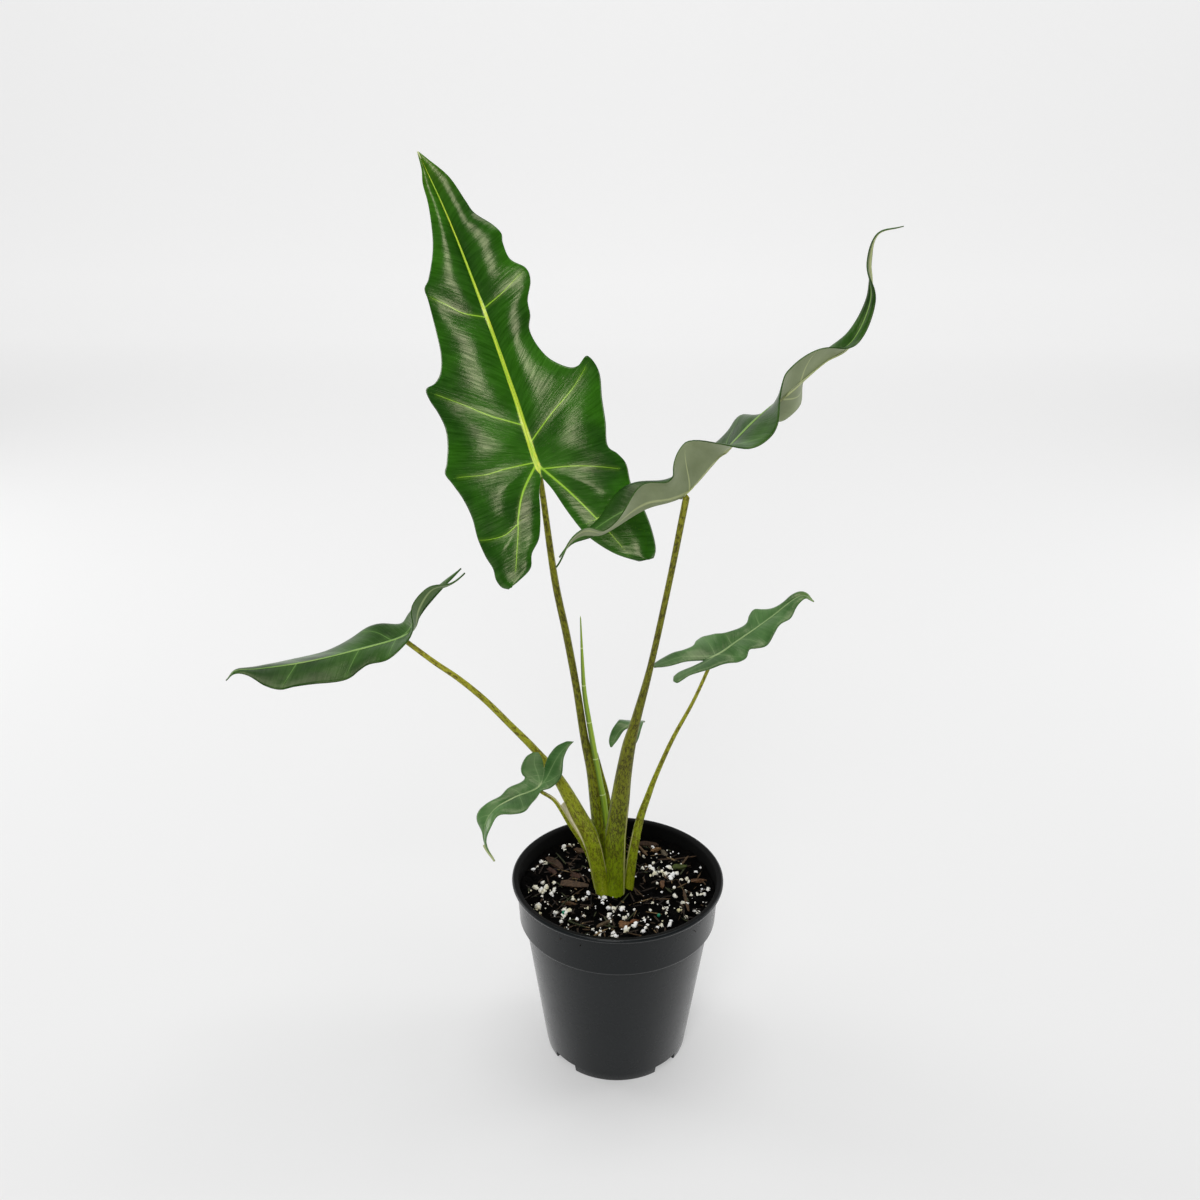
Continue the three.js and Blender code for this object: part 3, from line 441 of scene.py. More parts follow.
def lay_slivers(bm):
    for _ in range(40):
        x, y = scattered(0.009, 0.0485)
        length = rng.uniform(0.002, 0.006) if rng.random() < 0.6 else rng.uniform(0.006, 0.014)
        colour = rng.choice(sliver_colours)
        chip(bm, x, y, length, rng.uniform(0.0003, 0.0009), rng.uniform(0.0003, 0.0006),
             rng.uniform(0, math.pi), rng.uniform(-0.3, 0.3), colour)


bm = bmesh.new()
for x, y, length, turn, width, colour in chips:
    chip(bm, x / 1000, y / 1000, length / 1000, width / 1000, chip_depth, math.radians(turn),
         rng.uniform(-0.12, 0.12), colour)
add_runs(bm, 9, lay_slivers)
chips_piece = piece_from("bark_and_twigs", bm, bark, smooth=False)
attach(chips_piece, "root")
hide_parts("potting_mix")


# Feed pellets
# Two slow-release feed pellets, coated in green resin, lie on the soil.
# They are 2 mm balls with a smooth, slightly uneven skin.
pellet_resin = new_material("green resin coating")
# Satin blue-green, clouded where the coat is thinner
place = add_node(pellet_resin, "TexCoord", out="Object")
cloud = add_node(pellet_resin, "TexNoise", {"Vector": place, "Scale": 900.0})
coat = add_node(pellet_resin, "Mix", {FACTOR: cloud, COLOUR_A: "#0b6a4e", COLOUR_B: "#118a66"}, **IN_COLOUR)
set_shader(pellet_resin, {"Base Color": coat, "Roughness": 0.35})
bm = bmesh.new()
for x, y in ((0.0215, -0.0225), (-0.0275, -0.0235)):
    lay(bm, lump(bm, 0.0011, 3, 0.2), x, y, 0.0012)
pellets = piece_from("feed_pellets", bm, pellet_resin)
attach(pellets, "root")


# Corm
# The plant's short underground stem, wrapped in brown papery scales. It is all below the soil.
# The solid from the frame is kept as it is and takes this material.
corm_skin = new_material("papery corm skin")
# Dull brown rings of old leaf bases, a few millimetres apart
place = add_node(corm_skin, "TexCoord", out="Object")
rings = add_node(corm_skin, "TexWave", {"Vector": place, "Scale": 120.0, "Distortion": 6.0, "Detail": 3.0},
                 out=1, bands_direction="Z")
scales = add_node(corm_skin, "Mix", {FACTOR: rings, COLOUR_A: "#3d2818", COLOUR_B: "#7a5636"}, **IN_COLOUR)
ridged = add_node(corm_skin, "Bump", {"Height": rings, "Strength": 0.5, "Distance": 0.0006})
set_shader(corm_skin, {"Base Color": scales, "Roughness": 0.85, "Normal": ridged})
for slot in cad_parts["corm"].material_slots:
    slot.material = corm_skin


# Leaf stalks
# Each leaf stands on a fleshy round stalk that widens into a sheath at its foot, where it wraps the next.
# They grow from the corm, smooth and slightly waxy, olive green with elongated brown mottling.
samples_a_span = 40


def smooth_line(points, samples=samples_a_span):
    """The smooth curve through some points, with evenly many samples between each two."""
    p = np.array(points, float)
    p = np.vstack([2 * p[0] - p[1], p, 2 * p[-1] - p[-2]])
    t = np.arange(samples)[:, None] / samples
    spans = [0.5 * (2 * b + (c - a) * t + (2 * a - 5 * b + 4 * c - d) * t ** 2
                    + (3 * b - a - 3 * c + d) * t ** 3) for a, b, c, d in zip(p, p[1:], p[2:], p[3:])]
    return np.vstack([*spans, p[-2:-1]])


def laid_over(material, under, over, value, start, end, most=1.0, **how):
    """Lays a colour over another: none of it where a value is at the start, and the most at the end."""
    share = add_node(material, "MapRange", {
        "Value": value, "From Min": start, "From Max": end, "To Max": most}, **how)
    return add_node(material, "Mix", {FACTOR: share, COLOUR_A: under, COLOUR_B: over}, **IN_COLOUR)


def stalk_material(name, tones, spot_colour, fleck_colour, bare):
    """A waxy green skin, in tones by height, with fine long brown spots over it and a pale sheath edge."""
    material = new_material(name)
    # The "stem" attribute is the place across and along the stalk, so that the spots are long and follow it
    stem = add_node(material, "Attribute", out="Vector", attribute_name="stem")
    seam = add_node(material, "Attribute", out="Fac", attribute_name="seam")
    place = add_node(material, "TexCoord", out="Object")
    height = add_node(material, "SeparateXYZ", {"Vector": place}, out="Z")
    risen = add_node(material, "MapRange", {"Value": height, "From Min": 0.09, "From Max": 0.33})
    by_height = add_node(material, "ValToRGB", {"Fac": risen})
    set_stops(by_height.node.color_ramp, *zip((0, 0.12, 0.3, 0.6, 0.85, 1), tones))
    broad = add_node(material, "TexNoise", {"Vector": stem, "Scale": 90.0, "Detail": 2.0})
    dense = add_node(material, "MapRange", {
        "Value": broad, "From Min": 0.35, "From Max": 0.65, "To Min": -0.05, "To Max": 0.05})
    drawn_out = add_node(material, "Mapping", {"Vector": stem, "Scale": (1, 1, 0.4)})
    mottle = add_node(material, "TexNoise", {
        "Vector": drawn_out, "Scale": 1000.0, "Detail": 4.0, "Roughness": 0.7})
    clustered = add_node(material, "Math", {0: mottle, 1: dense}, operation="ADD")
    browner = add_node(material, "MapRange", {
        "Value": height, "From Min": 0.09, "From Max": 0.13, "To Min": 0.35, "To Max": 0.85})
    blotched = laid_over(material, by_height, spot_colour, clustered, bare, bare + 0.14, browner)
    # Pale flecks between the blotches, a third of a millimetre wide
    fleck = add_node(material, "TexNoise", {"Vector": drawn_out, "Scale": 2600.0, "Detail": 2.0})
    flecked = laid_over(material, blotched, fleck_colour, fleck, 0.52, 0.68, 0.5)
    edged = laid_over(material, flecked, "#ded59c", seam, 0.45, 0.2, 0.8)
    fibre = add_node(material, "Mapping", {"Vector": stem, "Scale": (1, 1, 0.05)})
    fine = add_node(material, "TexNoise", {"Vector": fibre, "Scale": 1500.0, "Detail": 2.0})
    ribbed = add_node(material, "Bump", {"Height": fine, "Strength": 0.25, "Distance": 0.0002})
    set_shader(material, {"Base Color": edged, "Roughness": 0.36, "Specular IOR Level": 0.2, "Normal": ribbed,
                          "Subsurface Weight": 0.05, "Subsurface Radius": (0.001, 0.0012, 0.0004)})
    return material


# The tones run from the foot up
stalk_skin = stalk_material(
    "mottled waxy leaf stalk", ("#85a00c", "#7b900f", "#717611", "#6c6e14", "#83831e", "#98982e"),
    "#332c0a", "#8f9028", 0.44)
young_skin = stalk_material(
    "younger leaf stalk", ("#8f9f12", "#869a12", "#8e961a", "#9c9a2c", "#a8a43a", "#b0ac3a"),
    "#4a3b0f", "#bdba44", 0.455)

corm_top = 0.0857
edge_width, edge_height = 0.35, 0.0002


def stalk_piece(name, points, radii, material, seams=(), sides=64, spacing=0.0012):
    """A round bar along a curve, its end rounded. Attributes keep the place on it and how far a seam is."""
    line = smooth_line(points) / 1000
    # The rounded end reaches a millimetre past the last point
    line = np.vstack([line, line[-1] + (line[-1] - line[-2]) / np.linalg.norm(line[-1] - line[-2]) * 0.001])
    length = np.r_[0, np.cumsum(np.linalg.norm(np.diff(line, axis=0), axis=1))]
    rings = int(length[-1] / spacing) + 2
    s = np.linspace(0, length[-1], rings)
    middle = np.stack([np.interp(s, length, line[:, k]) for k in range(3)], axis=1)
    place = np.minimum(np.interp(s, length, np.arange(len(line))) / samples_a_span, len(radii) - 1)
    radius = np.interp(place, np.arange(len(radii)), radii) / 1000
    radius *= np.sqrt(1 - np.clip(1 - (length[-1] - s) / radius, 0, 0.97) ** 2)
    along = np.gradient(middle, s, axis=0)
    along /= np.linalg.norm(along, axis=1)[:, None]
    across = np.cross((0, 1, 0), along)
    across /= np.linalg.norm(across, axis=1)[:, None]
    forward = np.cross(along, across)
    bm = bmesh.new()
    bmesh.ops.create_grid(bm, x_segments=sides, y_segments=rings - 1, size=0.5)
    stem = bm.verts.layers.float_vector.new("stem")
    seam_layer = bm.verts.layers.float.new("seam")
    for v in bm.verts:
        turn = 2 * math.pi * (v.co.x + 0.5)
        k = round((v.co.y + 0.5) * (rings - 1))
        ring = across[k] * math.cos(turn) + forward[k] * math.sin(turn)
        v[stem] = (radius[k] * math.cos(turn), radius[k] * math.sin(turn), s[k])
        # Each seam is the thin free edge of the sheath, which lies on the stalk up to some height
        away = 1.0
        for angle, top in seams:
            off = abs((turn - math.radians(angle) + math.pi) % (2 * math.pi) - math.pi) * radius[k] * 1000
            away = min(away, off + max(0, middle[k][2] * 1000 - top) * 0.08)
        v[seam_layer] = away
        v.co = middle[k] + ring * (radius[k] + edge_height * math.exp(-(away / edge_width) ** 2) * (away < 1))
    bmesh.ops.remove_doubles(bm, verts=bm.verts, dist=1e-6)
    bmesh.ops.holes_fill(bm, edges=[e for e in bm.edges if e.is_boundary], sides=0)
    if points[0][2] / 1000 < corm_top:
        bmesh.ops.bisect_plane(bm, geom=bm.verts[:] + bm.edges[:] + bm.faces[:],
                               plane_co=(0, 0, corm_top + gap), plane_no=(0, 0, 1), clear_inner=True)
        bmesh.ops.holes_fill(bm, edges=[e for e in bm.edges if e.is_boundary], sides=0)
    bmesh.ops.recalc_face_normals(bm, faces=bm.faces)
    return piece_from(name, bm, material)


# Each stalk: the points that its middle runs through, the radii there, in millimetres, its skin, and its
# sheath edges, as the angle round the stalk, from the right by way of the back, and the height of its end
stalks = {
    "b": ([(-1, -2, 84), (-1.5, -3, 123.5), (-0.5, -3, 139), (1, -4, 154), (2.5, -4, 168), (5, -5, 185.5),
           (8.5, -5, 201), (15, -6, 230.5), (23, -7, 275.5), (29.5, -8, 316.6)],
          [5.2, 5.6, 5.3, 4.8, 4.1, 3.4, 2.4, 1.6, 1.5, 1.6], stalk_skin, [(330, 150)]),
    "c": ([(-5.5, -2, 84), (-13, -5, 126.5), (-20.5, -7, 146), (-30.5, -8, 167), (-41.5, -9, 183.5),
           (-54.5, -9, 198.5), (-66.5, -10, 212.5), (-78.5, -10, 223.5), (-90.5, -9, 232), (-104.5, -8, 243)],
          [4, 4.3, 3.9, 2.8, 1.9, 1.6, 1.5, 1.4, 1.3, 1.2], young_skin, [(205, 158), (335, 130)]),
    "a": ([(-4.5, 4.5, 84), (-10.5, 7, 132.5), (-14, 9, 160.5), (-18, 11, 180.5), (-22, 13, 207.5),
           (-27, 16, 235.5), (-33, 20, 264.5), (-38.5, 24.5, 305), (-40.5, 24, 319.5)],
          [4.2, 3.6, 2.7, 2.1, 1.9, 1.9, 1.8, 1.5, 1.4], stalk_skin, []),
    "d": ([(5, 1.5, 84), (7.5, 1.5, 114), (11, 3, 135.5), (15, 4, 149.5), (19.5, 6, 162.5), (27.5, 8, 182.5),
           (37.5, 9.5, 203.5), (46, 11, 225.2)],
          [2.8, 2.7, 2.2, 1.7, 1.3, 1.1, 0.9, 0.9], young_skin, [(212, 128)]),
    "e": ([(-9.5, 1.5, 84), (-12.3, 0.6, 100), (-14.7, -0.7, 114), (-18.6, -3.2, 125.5), (-22, -6, 134),
           (-25.4, -9, 142.1), (-28.3, -13, 150.8), (-32.3, -18, 161), (-38, -25.5, 170)],
          [1.1, 1.1, 1.1, 1.2, 1.2, 1.2, 1.1, 1, 0.9], young_skin, [(330, 165), (345, 160)]),
    "f": ([(3.5, 7, 84), (-1, 16, 120.5), (3, 27, 146), (7, 45, 169)], [2, 1.6, 1.2, 0.9], young_skin, []),
}
for letter, parts in stalks.items():
    stalk = stalk_piece(f"stalk_{letter}", *parts)
    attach(stalk, "root")
    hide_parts(f"petiole_{letter}")

# The free edge of stalk a's sheath, which stands open beside the new leaf
sheath = stalk_piece(
    "sheath_a", [(1, 9.5, 86), (-1.9, 8.8, 113), (-5.5, 9.2, 144.5), (-8.8, 10.6, 160), (-11.2, 11.5, 171)],
    [1.9, 1.8, 1.3, 0.8, 0.3], stalk_skin)
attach(sheath, "root")
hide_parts("petiole_a")

# A papery cream membrane joins stalk e to the edge of stalk c's sheath, up to where the two part
membrane_skin = new_material("dry papery sheath")
# Dried tissue: cream and matt, with fine lines up it, and painted light makes it near white in streaks
place = add_node(membrane_skin, "TexCoord", out="Object")
upright = add_node(membrane_skin, "Mapping", {"Vector": place, "Scale": (1, 1, 0.1)})
lines = add_node(membrane_skin, "TexNoise", {"Vector": upright, "Scale": 1200.0, "Detail": 2.0})
painted_lit_cream = add_node(membrane_skin, "Mix", {FACTOR: lines, COLOUR_A: "#cfc594", COLOUR_B: "#fffae4"},
                  **IN_COLOUR)
set_shader(membrane_skin, {"Base Color": painted_lit_cream, "Roughness": 0.6})

# At each height, how far the membrane's edge lies to the left of stalk c's middle, in millimetres
rung_places = [(104, 3.4), (112, 3.6), (120, 3.7), (128, 3.7), (136, 3.6), (143, 3.3), (149, 3), (155, 2.6)]
to_front, paper_thickness = 1, 0.0003
bm = bmesh.new()
stalk_lines = [smooth_line(stalks[letter][0]) for letter in "ec"]
rungs = []
for z, to_left in rung_places:
    (e_x, e_y), (c_x, c_y) = ([float(np.interp(z, line[:, 2], line[:, k])) for k in (0, 1)]
                              for line in stalk_lines)
    rungs.append([bm.verts.new(Vector((e_x, e_y, z)) / 1000),
                  bm.verts.new(Vector((c_x - to_left, c_y - to_front, z)) / 1000)])
for low, high in zip(rungs, rungs[1:]):
    bm.faces.new((low[0], low[1], high[1], high[0]))
bmesh.ops.subdivide_edges(bm, edges=bm.edges, cuts=3, use_grid_fill=True)
bmesh.ops.smooth_vert(bm, verts=bm.verts, factor=0.5, use_axis_x=True, use_axis_y=True, use_axis_z=True)
bmesh.ops.solidify(bm, geom=bm.faces[:], thickness=paper_thickness)
bmesh.ops.recalc_face_normals(bm, faces=bm.faces)
membrane = piece_from("sheath_membrane", bm, membrane_skin)
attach(membrane, "root")
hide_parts("petiole_e")


# New leaf
# The youngest leaf, still rolled up into a spear, stands against the stalk behind it.
# It is a bright fresh green, with the edge of the roll running up it as a line.
new_green = new_material("young rolled leaf")
# Thin and juicy: yellow-green and softly lit through, with fine lines running up it
stem = add_node(new_green, "Attribute", out="Vector", attribute_name="stem")
across, _, along = add_node(new_green, "SeparateXYZ", {"Vector": stem}).node.outputs
drawn_out = add_node(new_green, "Mapping", {"Vector": stem, "Scale": (1, 1, 0.04)})
streaks = add_node(new_green, "TexNoise", {"Vector": drawn_out, "Scale": 900.0, "Detail": 3.0})
fresh = add_node(new_green, "Mix", {FACTOR: streaks, COLOUR_A: "#6f9414", COLOUR_B: "#a9c43a"}, **IN_COLOUR)
# The outer turn of the roll is darker, and shows where it ends as a line up the left side
rolled_tone = laid_over(new_green, fresh, "#4f6a1c", across, 0.0003, -0.0004, 0.75)
# Pale scars cross it every two centimetres or so
step = add_node(new_green, "Math", {0: along, 1: 0.0205}, operation="MODULO")
scarred = laid_over(new_green, rolled_tone, "#d9e6a0", step, 0.0007, 0.0004, 0.7)
lined = add_node(new_green, "Bump", {"Height": streaks, "Strength": 0.3, "Distance": 0.0003})
set_shader(new_green, {"Base Color": scarred, "Roughness": 0.4, "Normal": lined,
                       "Subsurface Weight": 0.1, "Subsurface Radius": (0.001, 0.0015, 0.0004)})
new_leaf = stalk_piece(
    "new_leaf_spear",
    [(-1.5, 9, 88), (-4.5, 7, 113), (-7.9, 7.5, 144.5), (-10, 8.5, 156), (-14, 10.5, 180), (-17.8, 12.5, 204),
     (-19, 13.5, 221), (-20, 14, 246.5)],
    [1.8, 2.1, 1.9, 1.75, 1.5, 1.2, 0.9, 0.3], new_green)
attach(new_leaf, "root")
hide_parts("new_leaf")


# Leaf blades
# Six arrow-shaped blades, under a millimetre thick, stiff and leathery, each grown in one with its stalk.
# A pale midrib runs to the tip, a rib down into each lobe and side veins out to the waved margin, and
# the leaf swells a little between them.
def vein_lines(material):
    """The distance from the nearest vein, counted in half its width, from the attributes that keep them."""
    sides, lobes = (add_node(material, "VectorMath", {0: add_node(
        material, "Attribute", out="Vector", attribute_name=layer)}, operation="ABSOLUTE")
        for layer in ("side_veins", "lobe_veins"))
    least = add_node(material, "VectorMath", {0: sides, 1: lobes}, operation="MINIMUM")
    x, y, z = add_node(material, "SeparateXYZ", {"Vector": least}).node.outputs
    first = add_node(material, "Math", {0: x, 1: y}, operation="MINIMUM")
    return add_node(material, "Math", {0: first, 1: z}, operation="MINIMUM")


SMOOTHLY = {"interpolation_type": "SMOOTHSTEP"}


def leaf_material(name, dark, light, tip_colour, pale, vein_strength, rough, shine, line_depth):
    """The upper side: dark green between veins, which it shows paler, with fine lines along the rows."""
    material = new_material(name)
    place = add_node(material, "TexCoord", out="Object")
    row = add_node(material, "UVMap", uv_map="rows")
    rib, near, tip = (add_node(material, "Attribute", out="Fac", attribute_name=layer)
                      for layer in ("rib", "near", "tip"))
    patch = add_node(material, "TexNoise", {"Vector": place, "Scale": 45.0, "Detail": 3.0})
    patched = laid_over(material, dark, light, patch, 0.35, 0.65)
    blade = laid_over(material, patched, tip_colour, tip, 0.0, 1.0, 0.55)
    # Fine lines about a millimetre apart run out with the veins. They are darker, and raised enough to
    # break up the gloss
    stretched = add_node(material, "Mapping", {"Vector": row, "Scale": (0.09, 1, 1)})
    lines = add_node(material, "TexNoise", {
        "Vector": stretched, "Scale": 800.0, "Detail": 4.0, "Roughness": 0.6, "Distortion": 0.5})
    line_tone = add_node(material, "MapRange", {
        "Value": lines, "From Min": 0.35, "From Max": 0.65,
        "To Min": 1 - line_depth, "To Max": 1 + line_depth})
    lined = add_node(material, "VectorMath", {0: blade, 1: line_tone}, operation="MULTIPLY")
    near_vein = laid_over(material, lined, pale[0], near, 0.002, 0.0003, 0.08, **SMOOTHLY)
    veined = laid_over(
        material, near_vein, pale[0], vein_lines(material), 1.25, 0.6, vein_strength, **SMOOTHLY)
    # The midrib is striped lengthwise, greener at its sides and yellow along its middle
    strands = add_node(material, "Mapping", {"Vector": row, "Scale": (1, 0.03, 1)})
    strand = add_node(material, "TexNoise", {"Vector": strands, "Scale": 1900.0, "Detail": 1.0})
    rib_colour = laid_over(material, pale[1], pale[0], strand, 0.4, 0.6)
    ribbed = laid_over(material, veined, rib_colour, rib, 1.15, 0.8, **SMOOTHLY)
    broken = add_node(material, "MapRange", {
        "Value": lines, "From Min": 0.38, "From Max": 0.6, "To Min": (1 - 2.6 * line_depth) * shine,
        "To Max": 1.15 * shine})
    fine = add_node(material, "Bump", {"Height": lines, "Strength": 0.5, "Distance": 0.0003})
    pucker = add_node(material, "TexNoise", {"Vector": place, "Scale": 160.0, "Detail": 3.0})
    skin = add_node(material, "Bump", {"Height": pucker, "Strength": 0.2, "Distance": 0.001, "Normal": fine})
    set_shader(material, {"Base Color": ribbed, "Roughness": rough, "Specular IOR Level": broken,
                          "Specular Tint": "#fff5d2", "Normal": skin})
    return material


def underside_material(name, dark, light, pale):
    """The lower side: greyer, matt, with the veins standing out of it."""
    material = new_material(name)
    place = add_node(material, "TexCoord", out="Object")
    row = add_node(material, "UVMap", uv_map="rows")
    rib = add_node(material, "Attribute", out="Fac", attribute_name="rib")
    patch = add_node(material, "TexNoise", {"Vector": place, "Scale": 34.0, "Detail": 4.0})
    blade = laid_over(material, dark, light, patch, 0.3, 0.7)
    on_vein = add_node(material, "MapRange", {
        "Value": vein_lines(material), "From Min": 2.0, "From Max": 0.8, "To Max": 0.6}, **SMOOTHLY)
    veined = add_node(material, "Mix", {FACTOR: on_vein, COLOUR_A: blade, COLOUR_B: pale}, **IN_COLOUR)
    ribbed = laid_over(material, veined, pale, rib, 1.4, 0.9, **SMOOTHLY)
    stretched = add_node(material, "Mapping", {"Vector": row, "Scale": (0.05, 1, 1)})
    lines = add_node(material, "TexNoise", {"Vector": stretched, "Scale": 1300.0, "Detail": 2.0})
    raised = add_node(material, "Math", {0: lines, 1: on_vein}, operation="ADD")
    skin = add_node(material, "Bump", {"Height": raised, "Strength": 0.35, "Distance": 0.0004})
    set_shader(material, {"Base Color": ribbed, "Roughness": 0.55, "Normal": skin})
    return material


# Grown leaves are deep green and glossy, with a yellow midrib. Older ones are duller and their veins fainter
glossy_leaf = leaf_material(
    "glossy grown leaf", "#174604", "#2b6507", "#5a8a10", ("#9bcf34", "#dde64a"), 0.9, 0.23, 0.55, 0.2)
older_leaf = leaf_material(
    "older dull leaf", "#295220", "#517843", "#7fa53c", ("#7b9a63", "#8fa870"), 0.4, 0.32, 0.48, 0.07)
# A darker copy of the older leaf, for leaves b and c, is painted shade where they turn from the light
shaded_leaf = leaf_material(
    "older leaf darkened as painted shade", "#143808", "#335c1a", "#3f7020", ("#6f9a4c", "#8aab5a"), 0.5, 0.3, 0.28, 0.09)
leaf_back = underside_material("pale leaf underside", "#6b774f", "#98a37c", "#b9c288")
green_back = underside_material("green leaf underside", "#3f5a2b", "#5f7a45", "#a3b47c")

